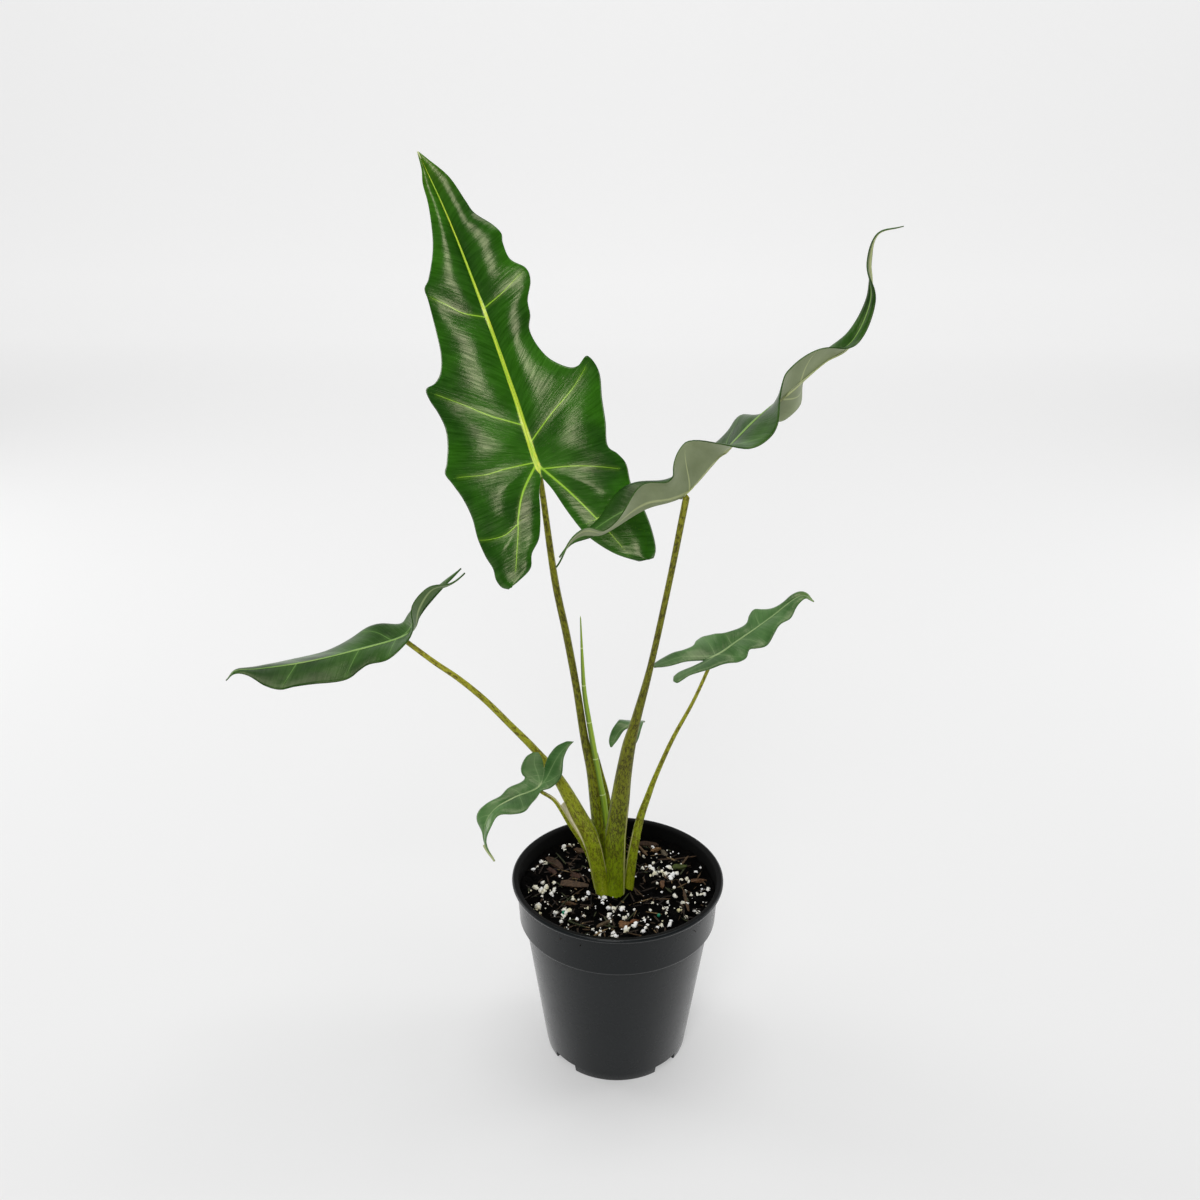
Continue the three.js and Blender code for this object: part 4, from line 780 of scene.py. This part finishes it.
# Each blade lies along a midrib curve that runs on past the stalk to the lobes' ends. Half outlines are
# given flat, in millimetres, from the tip to the lobe: a point on the margin and its root, on the midrib
# or, below the notch, on the lobe's inner edge. Folds are the angles at which a half rises from the
# midrib, and each vein is half its width at the root and the flat line that it follows.
# The stalk meets the midrib's point numbered by "junction", and "faces" says which way the upper side
# looks at each of its points. "curl" rolls a half further, in radians a millimetre, "puff" is how high the
# leaf swells, "rib" the midrib's half width at the stalk and the tip, and "spacing" how far rows are apart.
blades = {
    "a": {
        "junction": 1, "curl": -0.01, "puff": 2.8, "rib": (1.55, 0.2), "spacing": 1.1,
        "material": glossy_leaf,
        "midrib": [(-19, 4, 268), (-40.5, 22, 321), (-53, 36, 355), (-67, 49, 390.5), (-84, 62, 431),
            (-99, 70, 462)],
        "faces": [(0, -1, 0.35)] * 6,
        "right": [(0.4, 160.5, 0, 160.5), (3, 155.5, 0, 154), (8.5, 144, 0, 141), (11, 131, 0, 126),
            (12.7, 124, 0, 118), (18.5, 116, 0, 110), (21, 110.5, 0, 104), (20, 106, 0, 99),
            (20.5, 98, 0, 90), (26, 91.5, 0, 83), (26, 85, 0, 76), (21.5, 77, 0, 67), (20.2, 70, 0, 59),
            (17.5, 64, 0, 50), (18.3, 56, 0, 39), (22, 47.5, 0, 27.5), (29, 41, 0, 19.5), (34, 40.3, 0, 16),
            (39.5, 43.3, 0, 13.5), (42.5, 35, 0, 10), (40, 23, 0, 6.5), (38, 10.5, 0, 3.5), (35.3, -1, 0, 1),
            (38.5, -6.5, 0, -1.5), (40.8, -13, 0, -4.5), (39.6, -23, 3, -12), (41, -33, 6, -24),
            (41.5, -43, 9.8, -36), (40.8, -52, 14, -43.5), (39.5, -57, 21, -52), (37.3, -60, 30, -59)],
        "left": [(0.4, 160.5, 0, 160.5), (2, 152.5, 0, 151), (4.5, 146, 0, 143), (6, 137.5, 0, 134),
            (8.5, 128, 0, 122), (11.5, 118.5, 0, 110), (15, 111, 0, 100), (20, 103, 0, 88),
            (23.3, 99.5, 0, 79), (23.6, 94, 0, 73), (24.5, 86, 0, 66), (25.5, 77.5, 0, 57), (27, 67.5, 0, 44),
            (30, 59.5, 0, 33), (34.5, 55.2, 0, 27), (39.8, 54, 0, 22.5), (39.8, 48, 0, 19), (38, 41, 0, 15),
            (37, 32, 0, 11), (38.5, 23.5, 0, 7), (41.5, 16, 0, 3.5), (44, 11.5, 0, 1), (42, 6, 0, -1.5),
            (39.5, -2, 0, -4.5), (38.5, -11.5, 3.5, -11), (39.5, -21.5, 5.8, -18.5), (39, -31, 9, -27),
            (37.7, -37.5, 12, -32.5), (38.3, -43, 17.3, -37.5), (37, -47.5, 20.5, -44), (34, -49.7, 29, -48)],
        "fold_right": [(-60, 12), (160, 12)],
        "fold_left": [(-60, 12), (160, 12)],
        "veins_right": [(0.32, [(0, 81), (11.5, 84.5), (22, 89.5)]),
            (0.36, [(0, 12.5), (15, 23), (27, 30.5), (36.5, 38)]),
            (0.34, [(0, -0.5), (15, -4.5), (25.5, -8.5), (36, -13.5)]),
            (0.6, [(0.5, 1.5), (10.5, -16), (19, -34.5), (25, -50)]),
            (0.24, [(18.5, -32.5), (21, -32.5), (23.5, -34.5)])],
        "veins_left": [(0.32, [(0, 76.5), (10, 82), (16.5, 89), (21.5, 94)]),
            (0.36, [(0, 21.5), (14, 30.5), (24.5, 40), (35.5, 49.5)]),
            (0.34, [(0, 3), (15, 4.5), (25, 5), (38, 8)]),
            (0.6, [(0.5, 2), (11, -8.5), (17.5, -19.5), (20, -26), (27.5, -42.5)]),
            (0.26, [(19, -22), (26, -24.5), (33.5, -24), (39, -22.5)])],
    },
    "b": {
        "junction": 4, "curl": 0, "puff": 0.8, "rib": (1.1, 0.12), "spacing": 1.5, "material": shaded_leaf,
        "midrib": [(-30.5, -31, 288.5), (-22, -27, 299), (-10, -21, 301.5), (10.5, -13, 310),
            (29.5, -8, 318.5), (45, -6, 336), (60.5, -2, 352), (78, 2, 366), (90.5, 4, 376.5), (103, 7, 386),
            (109.5, 9, 403.5), (107, 8, 419.5), (109, 6, 431.5), (118, 2, 435)],
        "faces": [(-0.5, 0, 0.85), (-0.5, 0, 0.85), (-0.5, 0, 0.85), (-0.5, 0, 0.85), (-0.5, 0, 0.85),
            (-0.7, 0, 0.7), (-0.7, 0, 0.7), (-0.7, 0, 0.7), (-0.7, 0, 0.7), (-0.7, -0.3, 0.6), (-1, -0.5, 0),
            (-0.6, 0.8, 0), (-0.7, 0.3, 0.7), (0, 0, 1)],
        "right": [(0.4, 161, 0, 161), (1.4, 145, 0, 143), (2.4, 128, 0, 125), (5, 104, 0, 98),
            (11.5, 84, 0, 74), (14.5, 64, 0, 53), (20.5, 45, 0, 33), (19.5, 31, 0, 15), (21.5, 18, 0, 3),
            (19, 0, 0, -4), (17, -21, 2, -14), (11.5, -36, 3, -29), (8, -50, 3, -44), (5, -62, 3, -58),
            (4.5, -71, 3.8, -70.5)],
        "left": [(0.4, 161, 0, 161), (1.4, 146, 0, 144), (2.4, 130, 0, 127), (5, 106, 0, 100),
            (13.5, 75, 0, 62), (13, 60, 0, 48), (17, 45, 0, 32), (15, 28, 0, 14), (18.5, 12, 0, 2),
            (16.5, -6, 0, -4), (18.5, -24, 2, -15), (12.5, -39, 3, -31), (8.5, -52, 2.5, -46),
            (5, -60, 2.5, -57), (3.5, -67, 2.8, -66.5)],
        "fold_right": [(-70, 10), (-54, 60), (-44, 25), (-20, 60), (-8, 45), (18, 62), (26, 28), (33, -6),
            (42, -14), (50, -8), (58, 18), (68, 48), (84, 50), (96, 20), (112, 0), (161, 0)],
        "fold_left": [(-70, 0), (-46, 20), (-20, 42), (0, 20), (20, 12), (34, 8), (44, 8), (50, -20),
            (57, -52), (66, -48), (74, -10), (84, 10), (112, 20), (161, 0)],
        "veins_right": [(0.35, [(0, 70), (6, 76), (10, 82)]), (0.35, [(0, 24), (9, 32), (17, 41)]),
            (0.35, [(0, 1), (10, 8), (18, 15)]), (0.7, [(0.5, 1), (5, -14), (7, -38), (4.5, -64)])],
        "veins_left": [(0.35, [(0, 60), (6, 66), (11, 72)]), (0.35, [(0, 24), (8, 32), (14, 41)]),
            (0.35, [(0, 1), (9, 6), (16, 11)]), (0.7, [(0.5, 1), (5, -14), (7, -38), (4, -60)])],
    },
    "c": {
        "junction": 3, "curl": -0.004, "puff": 0.8, "rib": (0.8, 0.12), "spacing": 1.5,
        "material": shaded_leaf, "back": green_back,
        "midrib": [(-77, 10, 270.5), (-85.5, 6, 263.5), (-95.5, -2, 254), (-104.5, -8, 245),
            (-129.5, -16, 240), (-147.5, -22, 237.5), (-168, -31, 237.5), (-178, -36.5, 239),
            (-182.5, -38.5, 235)],
        "faces": [(-0.7, 0, 0.7), (-0.7, 0, 0.7), (-0.5, 0, 0.85), (-0.3, 0, 1), (0, 0, 1), (0, 0, 1),
            (0, 0, 1), (0, 0, 1), (-0.5, 0, 0.9)],
        "right": [(0.4, 86.5, 0, 86.5), (3, 79, 0, 77), (9, 67, 0, 62), (14, 58, 0, 51), (17.5, 49, 0, 40),
            (17.5, 38, 0, 28), (16.5, 28, 0, 17), (17.8, 19, 0, 9), (15.5, 9, 0, 2), (12.5, -2, 0, -4),
            (13, -12, 1.5, -10), (12.5, -22, 3.5, -18), (9.5, -32, 4.5, -29), (7.5, -38, 5, -37),
            (6.5, -43, 5.6, -42.6)],
        "left": [(0.4, 86.5, 0, 86.5), (4, 76, 0, 74), (12, 69, 0, 64), (16, 62.5, 0, 56), (15.5, 56, 0, 49),
            (16, 47, 0, 39), (18.3, 32, 0, 24), (15, 24.5, 0, 17), (12.8, 19, 0, 11), (14.5, 10, 0, 3),
            (13, 1, 0, -4), (10, -10, 1.5, -10), (9, -20, 3, -19), (8.5, -30, 4.5, -29), (7.5, -37, 5, -36.5),
            (6.5, -43, 5.6, -42.6)],
        "fold_right": [(-42, 20), (-20, 15), (-5, 12), (10, 20), (25, 0), (40, -12), (86, -12)],
        "fold_left": [(-42, 10), (-33, 20), (-24, 70), (-15, 70), (-6, 25), (5, 0), (15, -12), (86, -14)],
        "veins_right": [(0.32, [(0, 50), (8, 53), (13, 56)]), (0.32, [(0, 30), (9, 38), (15, 46)]),
            (0.32, [(0, 6), (9, 12), (15, 18)]), (0.55, [(0.5, 1), (5, -12), (8, -26), (6.5, -40)])],
        "veins_left": [(0.32, [(0, 52), (8, 57), (14, 61)]), (0.32, [(0, 22), (9, 27), (16, 31)]),
            (0.32, [(0, 4), (7, 7), (13, 10)]), (0.55, [(0.5, 1), (4, -12), (6.5, -26), (6.5, -40)])],
    },
    "d": {
        "junction": 1, "curl": -0.01, "puff": 0.9, "rib": (0.6, 0.1), "spacing": 1.2, "material": older_leaf,
        "midrib": [(22, 4, 221), (46, 11, 227.2), (59, 15.5, 234.3), (75, 20, 245), (90, 25, 255),
            (97, 26, 252)],
        "faces": [(0, -0.2, 1)] * 6,
        "right": [(0.4, 62.5, 0, 62.5), (3, 56, 0, 55), (5, 49, 0, 47), (8.5, 42.5, 0, 40),
            (8.5, 37, 0, 34.5), (11, 31.5, 0, 28), (13.3, 25, 0, 21.5), (12, 19.5, 0, 17), (10.8, 17, 0, 14),
            (12.8, 13, 0, 9.5), (11, 8.5, 0, 5), (8.5, 4, 0, 1), (8.5, -4, 0, -3.5), (8, -10, 1, -8),
            (8, -15, 1.8, -12), (9.5, -19, 2.2, -16), (10.5, -22.5, 3, -19.5), (8.5, -24, 5, -22.5)],
        "left": [(0.4, 62.5, 0, 62.5), (3.5, 57.5, 0, 56), (4, 51, 0, 49), (3.3, 46, 0, 43.5),
            (4.5, 40, 0, 37.5), (7.5, 35.5, 0, 32), (11, 32, 0, 27.5), (10.5, 28, 0, 23.5),
            (7.5, 24.5, 0, 19.5), (7.2, 19, 0, 14.5), (9, 13, 0, 9), (14, 8.5, 0, 4.5), (18, 3.5, 0, 1),
            (15.5, -2, 0, -1), (12, -5.5, 0, -3.5), (11.5, -11, 2.2, -9), (13.2, -17, 3.8, -14),
            (12.8, -23, 4.6, -20), (10.5, -28, 6, -25), (8, -28.8, 7, -28)],
        "fold_right": [(-25, 8), (0, 8), (8, -2), (17, 10), (26, 0), (36, 10), (46, 0), (62, 5)],
        "fold_left": [(-25, 0), (-8, 12), (5, 2), (14, 12), (24, 0), (34, 10), (44, 0), (62, 5)],
        "veins_right": [(0.28, [(0, 36), (4, 39), (7, 41)]), (0.28, [(0, 17), (6, 21), (11, 24)]),
            (0.28, [(0, 3), (6, 8), (11, 12)]), (0.45, [(0.4, 1), (3, -6), (5, -14), (6.5, -22)])],
        "veins_left": [(0.28, [(0, 29), (5, 30), (9, 31.5)]), (0.28, [(0, 2), (8, 3), (15, 3.5)]),
            (0.28, [(0, 12), (4, 12.5), (8, 13)]), (0.45, [(0.4, 1), (4, -7), (7.5, -15), (8.5, -26)])],
    },
    "e": {
        "junction": 1, "curl": -0.01, "puff": 0.9, "rib": (0.5, 0.1), "spacing": 1.2, "material": older_leaf,
        "midrib": [(-36.5, -14, 184.5), (-38.5, -26, 174), (-50, -36, 173), (-59, -43, 170.5),
            (-63, -48, 165.5), (-63, -50, 156), (-59, -50, 146)],
        "faces": [(-0.2, -0.3, 1), (0, -0.3, 1), (0, -0.3, 1), (0, -0.3, 1), (-0.5, -0.3, 0.8),
            (-1, -0.3, 0.3), (-1, -0.3, 0)],
        "right": [(0.4, 56, 0, 56), (0.9, 48, 0, 47), (1.8, 41.5, 0, 40), (5.5, 37, 0, 34.5),
            (6.5, 32.5, 0, 29), (5.4, 28, 0, 24.5), (4.4, 21.5, 0, 18), (6.3, 15.5, 0, 11.5), (7, 8, 0, 5),
            (9, 1, 0, -2), (11.5, -8, 0, -9), (9.8, -14, 1.4, -14), (6.5, -16.8, 3.5, -17)],
        "left": [(0.4, 56, 0, 56), (1, 49, 0, 48), (3.5, 42, 0, 41), (5, 36, 0, 34.5), (4.6, 29, 0, 26.5),
            (9, 23, 0, 18.5), (11.3, 17, 0, 12), (7, 8.5, 0, 5), (3.2, 2.5, 0, 0.5), (6, -0.5, 0, -3),
            (9.3, -5.5, 0, -9), (10, -13, 1.5, -14.5), (12, -19, 5.5, -20), (14.8, -22.3, 11, -22.6)],
        "fold_right": [(-25, 12), (56, 12)],
        "fold_left": [(-25, 12), (56, 12)],
        "veins_right": [(0.25, [(0, 31), (3, 33), (5, 35)]), (0.25, [(0, 12), (3, 13), (5.5, 15)]),
            (0.25, [(0, -1), (4, -2), (9, -6)]), (0.4, [(0.4, 0), (3, -6), (5, -11), (5, -15)])],
        "veins_left": [(0.25, [(0, 35), (2, 36), (4, 36.5)]), (0.25, [(0, 13), (5, 15), (9.5, 17)]),
            (0.25, [(0, -1), (4, -3), (8, -6)]), (0.4, [(0.4, 0), (4, -9), (8, -16), (12, -21)])],
    },
    "f": {
        "junction": 1, "curl": -0.01, "puff": 0.4, "rib": (0.6, 0.1), "spacing": 1.2, "material": older_leaf,
        "midrib": [(3, 34, 164), (7, 45, 171), (8, 60, 164), (9.5, 75, 156.5)],
        "faces": [(0, -0.1, 1)] * 4,
        "right": [(0.4, 33.5, 0, 33.5), (4, 24, 0, 22), (6.5, 15, 0, 12), (6, 6, 0, 3), (6, -2, 0, -2.5),
            (6.5, -8, 2, -6), (6, -13, 3, -11), (5, -15, 4, -14.6)],
        "left": [(0.4, 33.5, 0, 33.5), (4.5, 24, 0, 22), (8, 15, 0, 11), (7.5, 6, 0, 3), (8, -1, 0, -2.5),
            (9.5, -8, 3, -6), (9, -14, 4.5, -12), (7, -17.5, 6, -17)],
        "fold_right": [(-15, 10), (33, 10)],
        "fold_left": [(-15, 10), (33, 10)],
        "veins_right": [(0.22, [(0, 10), (3, 12), (5.5, 14)]), (0.22, [(0, 0), (3, 2), (5.5, 4)]),
            (0.3, [(0.3, 0), (3, -6), (4.5, -12)])],
        "veins_left": [(0.22, [(0, 9), (4, 12), (7, 14)]), (0.22, [(0, 0), (4, 2), (7, 4)]),
            (0.3, [(0.3, 0), (5, -7), (6.5, -14)])],
    },
}
# Millimetres. The last is farther than any vein
blade_thickness, rib_relief, rib_strip, vein_hollow, far = 0.8, 0.9, 3.0, 7, 99.0
# Counts: of the fine steps by which the rows are found, and of the veins that a half can have
spine_steps, lobe_steps, vein_slots = 4000, 2000, 6


def midrib_frames(blade):
    """The midrib as a place, a direction, a side and an upper-face direction at distances from the stalk."""
    places = smooth_line(blade["midrib"])
    faces = smooth_line(blade["faces"])
    lengths = np.r_[0, np.cumsum(np.linalg.norm(np.diff(places, axis=0), axis=1))]
    lengths -= lengths[samples_a_span * blade["junction"]]
    step = 1.5

    def spot(line, y):
        return np.stack([np.interp(y, lengths, line[:, k]) for k in range(3)], axis=-1)

    def frames(y):
        reach = np.clip(y, lengths[0] + step, lengths[-1] - step)
        along = spot(places, reach + step) - spot(places, reach - step)
        along /= np.linalg.norm(along, axis=-1, keepdims=True)
        beyond = y - np.clip(y, lengths[0], lengths[-1])
        up = spot(faces, y)
        up -= along * np.sum(up * along, axis=-1, keepdims=True)
        up /= np.linalg.norm(up, axis=-1, keepdims=True)
        return spot(places, y) + along * beyond[..., None], up, np.cross(along, up)

    return frames


def half_outline(half, q):
    """The flat half outline at places counted in rows from the tip: points on the margin and their roots."""
    rows = np.array(half, float)
    last = len(rows) - 1
    notch = np.flatnonzero(rows[:, 2] == 0)[-1]
    k = np.minimum(q.astype(int), last - 1)
    t = (q - k)[:, None]

    def curve(columns, lowest):
        a, b, c, d = (rows[np.clip(k + step, lowest, last)][:, columns] for step in (-1, 0, 1, 2))
        return b + 0.5 * t * (c - a + t * (2 * a - 5 * b + 4 * c - d + t * (3 * (b - c) + d - a)))

    straight = rows[k, 2:4] + (rows[k + 1, 2:4] - rows[k, 2:4]) * t
    return curve([0, 1], 0), np.where((k < notch)[:, None], straight, curve([2, 3], notch))


def fold_angle(pairs, y):
    """The fold in radians at distances from the stalk, read from its list as one smooth line."""
    places, values = np.array(pairs, float).T
    slopes = np.zeros(len(places))
    slopes[1:-1] = (values[2:] - values[:-2]) / (places[2:] - places[:-2])
    y = np.clip(y, places[0], places[-1])
    k = np.clip(np.searchsorted(places, y, side="right") - 1, 0, len(places) - 2)
    span = places[k + 1] - places[k]
    t = (y - places[k]) / span
    start = values[k] * (1 + 2 * t) + span * slopes[k] * t
    end = values[k + 1] * (3 - 2 * t) - span * slopes[k + 1] * (1 - t)
    return np.radians(start * (1 - t) ** 2 + end * t ** 2)


def evenly(values, steps, spacing):
    """Picks values so that the summed steps between two of them are alike."""
    travel = np.r_[0, np.cumsum(steps)]
    return np.interp(np.linspace(0, travel[-1], math.ceil(travel[-1] / spacing) + 1), travel, values)


def blade_rows(blade):
    """Where each row of the grid lies, in outline rows, for both halves, and how many share the midrib."""
    halves = [blade["right"], blade["left"]]
    notches = [max(k for k, row in enumerate(half) if row[2] == 0) for half in halves]
    y = np.linspace(halves[0][0][3], halves[0][notches[0]][3], spine_steps)

    def places(side, y):
        roots = [-row[3] for row in halves[side][:notches[side] + 1]]
        return np.interp(-y, roots, np.arange(len(roots)))

    def run(half, q):
        return np.linalg.norm(np.diff(half_outline(half, q)[0], axis=0), axis=1)

    longer = np.maximum(run(halves[0], places(0, y)), run(halves[1], places(1, y)))
    shared = evenly(y, longer, blade["spacing"])
    rows = []
    for side, half in enumerate(halves):
        q = np.linspace(notches[side], len(half) - 1, lobe_steps)
        rows.append(np.r_[places(side, shared), evenly(q, run(half, q), blade["spacing"])[1:]])
    return rows, len(shared)


def from_vein(flat, half_width, line):
    """How far flat points are from a vein, and that in half widths, signed by the side they are on."""
    line = smooth_line(line, 8)
    start, step = line[:-1], np.diff(line, axis=0)
    to_point = flat[..., None, :] - start
    t = np.clip(np.sum(to_point * step, axis=-1) / np.sum(step ** 2, axis=-1), 0, 1)
    away = np.linalg.norm(to_point - t[..., None] * step, axis=-1)
    nearest = np.argmin(away, axis=-1)[..., None]
    turn = to_point[..., 0] * step[:, 1] - to_point[..., 1] * step[:, 0]
    turn = np.take_along_axis(turn, nearest, -1)[..., 0]
    along = (np.take_along_axis(t, nearest, -1) + nearest)[..., 0] / len(step)
    away = np.take_along_axis(away, nearest, -1)[..., 0]
    width = half_width * (1 - 0.8 * along)
    return away, np.where(turn < 0, -1, 1) * np.clip(away / width, 0.001, far)


def blade_piece(name, blade):
    """One blade: a sheet of two halves that share the midrib, and its thickness as a modifier."""
    frames = midrib_frames(blade)
    length = blade["right"][0][1]
    rows, shared = blade_rows(blade)
    bm = bmesh.new()
    side_veins, lobe_veins = (bm.verts.layers.float_vector.new(n) for n in ("side_veins", "lobe_veins"))
    rib_layer, near_layer, tip_layer = (bm.verts.layers.float.new(n) for n in ("rib", "near", "tip"))
    flow = bm.loops.layers.uv.new("rows")
    group = bm.verts.layers.deform.new()
    for side, (word, sign) in enumerate((("right", 1), ("left", -1))):
        margin, root = half_outline(blade[word], rows[side])
        span = np.linalg.norm(margin - root, axis=1)
        # Columns stand closest in a narrow strip beside the midrib, where the leaf bends most
        beside_rib = np.minimum(0.3, rib_strip / np.maximum(span, 0.1))[:, None]
        wide = max(6, math.ceil(span.max() / (1.2 * blade["spacing"])))
        u = np.concatenate([beside_rib * [0, 0.14, 0.28, 0.45, 0.7, 1],
                            beside_rib + (1 - beside_rib) * np.arange(1, wide + 1) / wide], axis=1)
        flat = root[:, None, :] + (margin - root)[:, None, :] * u[..., None]
        x, y = flat[..., 0], flat[..., 1]

        def surface(x, y):
            """Where flat points come to lie: turned up by the fold, and rolled further by the curl."""
            middle, up, across = frames(y)
            fold = fold_angle(blade["fold_" + word], y)
            curl = blade["curl"] or 1e-6
            turn = fold + curl * x
            out = (np.sin(turn) - np.sin(fold)) / curl
            rise = (np.cos(fold) - np.cos(turn)) / curl
            return middle + across * (sign * out)[..., None] + up * rise[..., None]

        nudge = 0.4
        over = surface(x + nudge, y) - surface(np.maximum(x - nudge, 0), y)
        on = surface(x, y + nudge) - surface(x, y - nudge)
        normal = np.cross(over, on) * sign
        normal /= np.linalg.norm(normal, axis=-1, keepdims=True)
        normal[:shared, 0] = frames(y[:shared, 0])[1]
        veins = [from_vein(flat, *vein) for vein in blade["veins_" + word]]
        near = np.min([away for away, _ in veins], axis=0)
        signed = [value for _, value in veins] + [np.full(near.shape, far)] * (vein_slots - len(veins))
        from_rib = np.where((np.arange(len(u)) < shared)[:, None], np.abs(x), far)
        # The blade swells between its veins, and is drawn in along each
        drawn_in = 1 - 0.75 * np.exp(-(near / vein_hollow) ** 2)
        # It thins towards the margin and the tip
        to_tip = np.clip((length - y) / (0.25 * length), 0, 1)
        thin = (0.6 + 0.4 * to_tip) * (1 - 0.35 * np.clip((u - 0.85) / 0.15, 0, 1))
        lift = blade["puff"] * np.sin(np.pi * np.clip(u, 0, 1)) ** 0.8 * drawn_in * to_tip
        points = surface(x, y) + normal * (thin * blade_thickness / 2 + lift - 0.3 * to_tip)[..., None]
        half_rib = blade["rib"][1] + (blade["rib"][0] - blade["rib"][1]) * np.clip(1 - y / length, 0, 1)
        half_rib *= np.clip(1 + y / 3.5, 0.05, 1) * np.clip((length - y) / (0.08 * length), 0.2, 1)
        ridge = np.where(from_rib < far, 0.4 * to_tip * np.exp(-(from_rib / (half_rib * 0.75)) ** 2), 0)
        points += normal * ridge[..., None]
        steps = np.r_[0, np.cumsum(np.linalg.norm(np.diff(margin, axis=0), axis=1))]

        # Each grid point's column and row give it its place and what the materials read
        columns, lines = u.shape[1] - 1, u.shape[0] - 1
        made = bmesh.ops.create_grid(bm, x_segments=columns, y_segments=lines, size=0.5)["verts"]
        place_of = {}
        for v in made:
            c, r = round((v.co.x + 0.5) * columns), round((v.co.y + 0.5) * lines)
            place_of[v] = (c, r)
            v.co = points[r, c] / 1000
            v[side_veins] = [value[r, c] for value in signed[:3]]
            v[lobe_veins] = [value[r, c] for value in signed[3:]]
            v[rib_layer] = min(from_rib[r, c] / half_rib[r, c], 9)
            v[near_layer] = near[r, c] / 1000
            v[tip_layer] = (1 - to_tip[r, c]) ** 2
            relief = 0 if c or r >= shared else rib_relief * to_tip[r, c]
            v[group][0] = (blade_thickness * thin[r, c] + relief) / (blade_thickness + rib_relief)
        side_faces = list({f for v in made for f in v.link_faces})
        for face in side_faces:
            for corner in face.loops:
                c, r = place_of[corner.vert]
                corner[flow].uv = (u[r, c] * span[r] / 1000, steps[r] / 1000)
        largest = max(side_faces, key=lambda f: f.calc_area())
        c, r = place_of[largest.verts[0]]
        largest.normal_update()
        if largest.normal.dot(Vector(normal[r, c])) < 0:
            bmesh.ops.reverse_faces(bm, faces=side_faces)
    bmesh.ops.remove_doubles(bm, verts=bm.verts, dist=2e-6)
    item = piece_from(name, bm, blade["material"], blade.get("back", leaf_back))
    item.vertex_groups.new(name="thick")
    wall = item.modifiers.new("leaf_thickness", "SOLIDIFY")
    wall.thickness = (blade_thickness + rib_relief) / 1000
    wall.offset = -1
    wall.vertex_group = "thick"
    wall.material_offset = 1
    wall.material_offset_rim = 0
    wall.use_quality_normals = True
    return item


for letter, blade in blades.items():
    leaf = blade_piece(f"leaf_{letter}", blade)
    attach(leaf, "root")
    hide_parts(f"blade_{letter}")
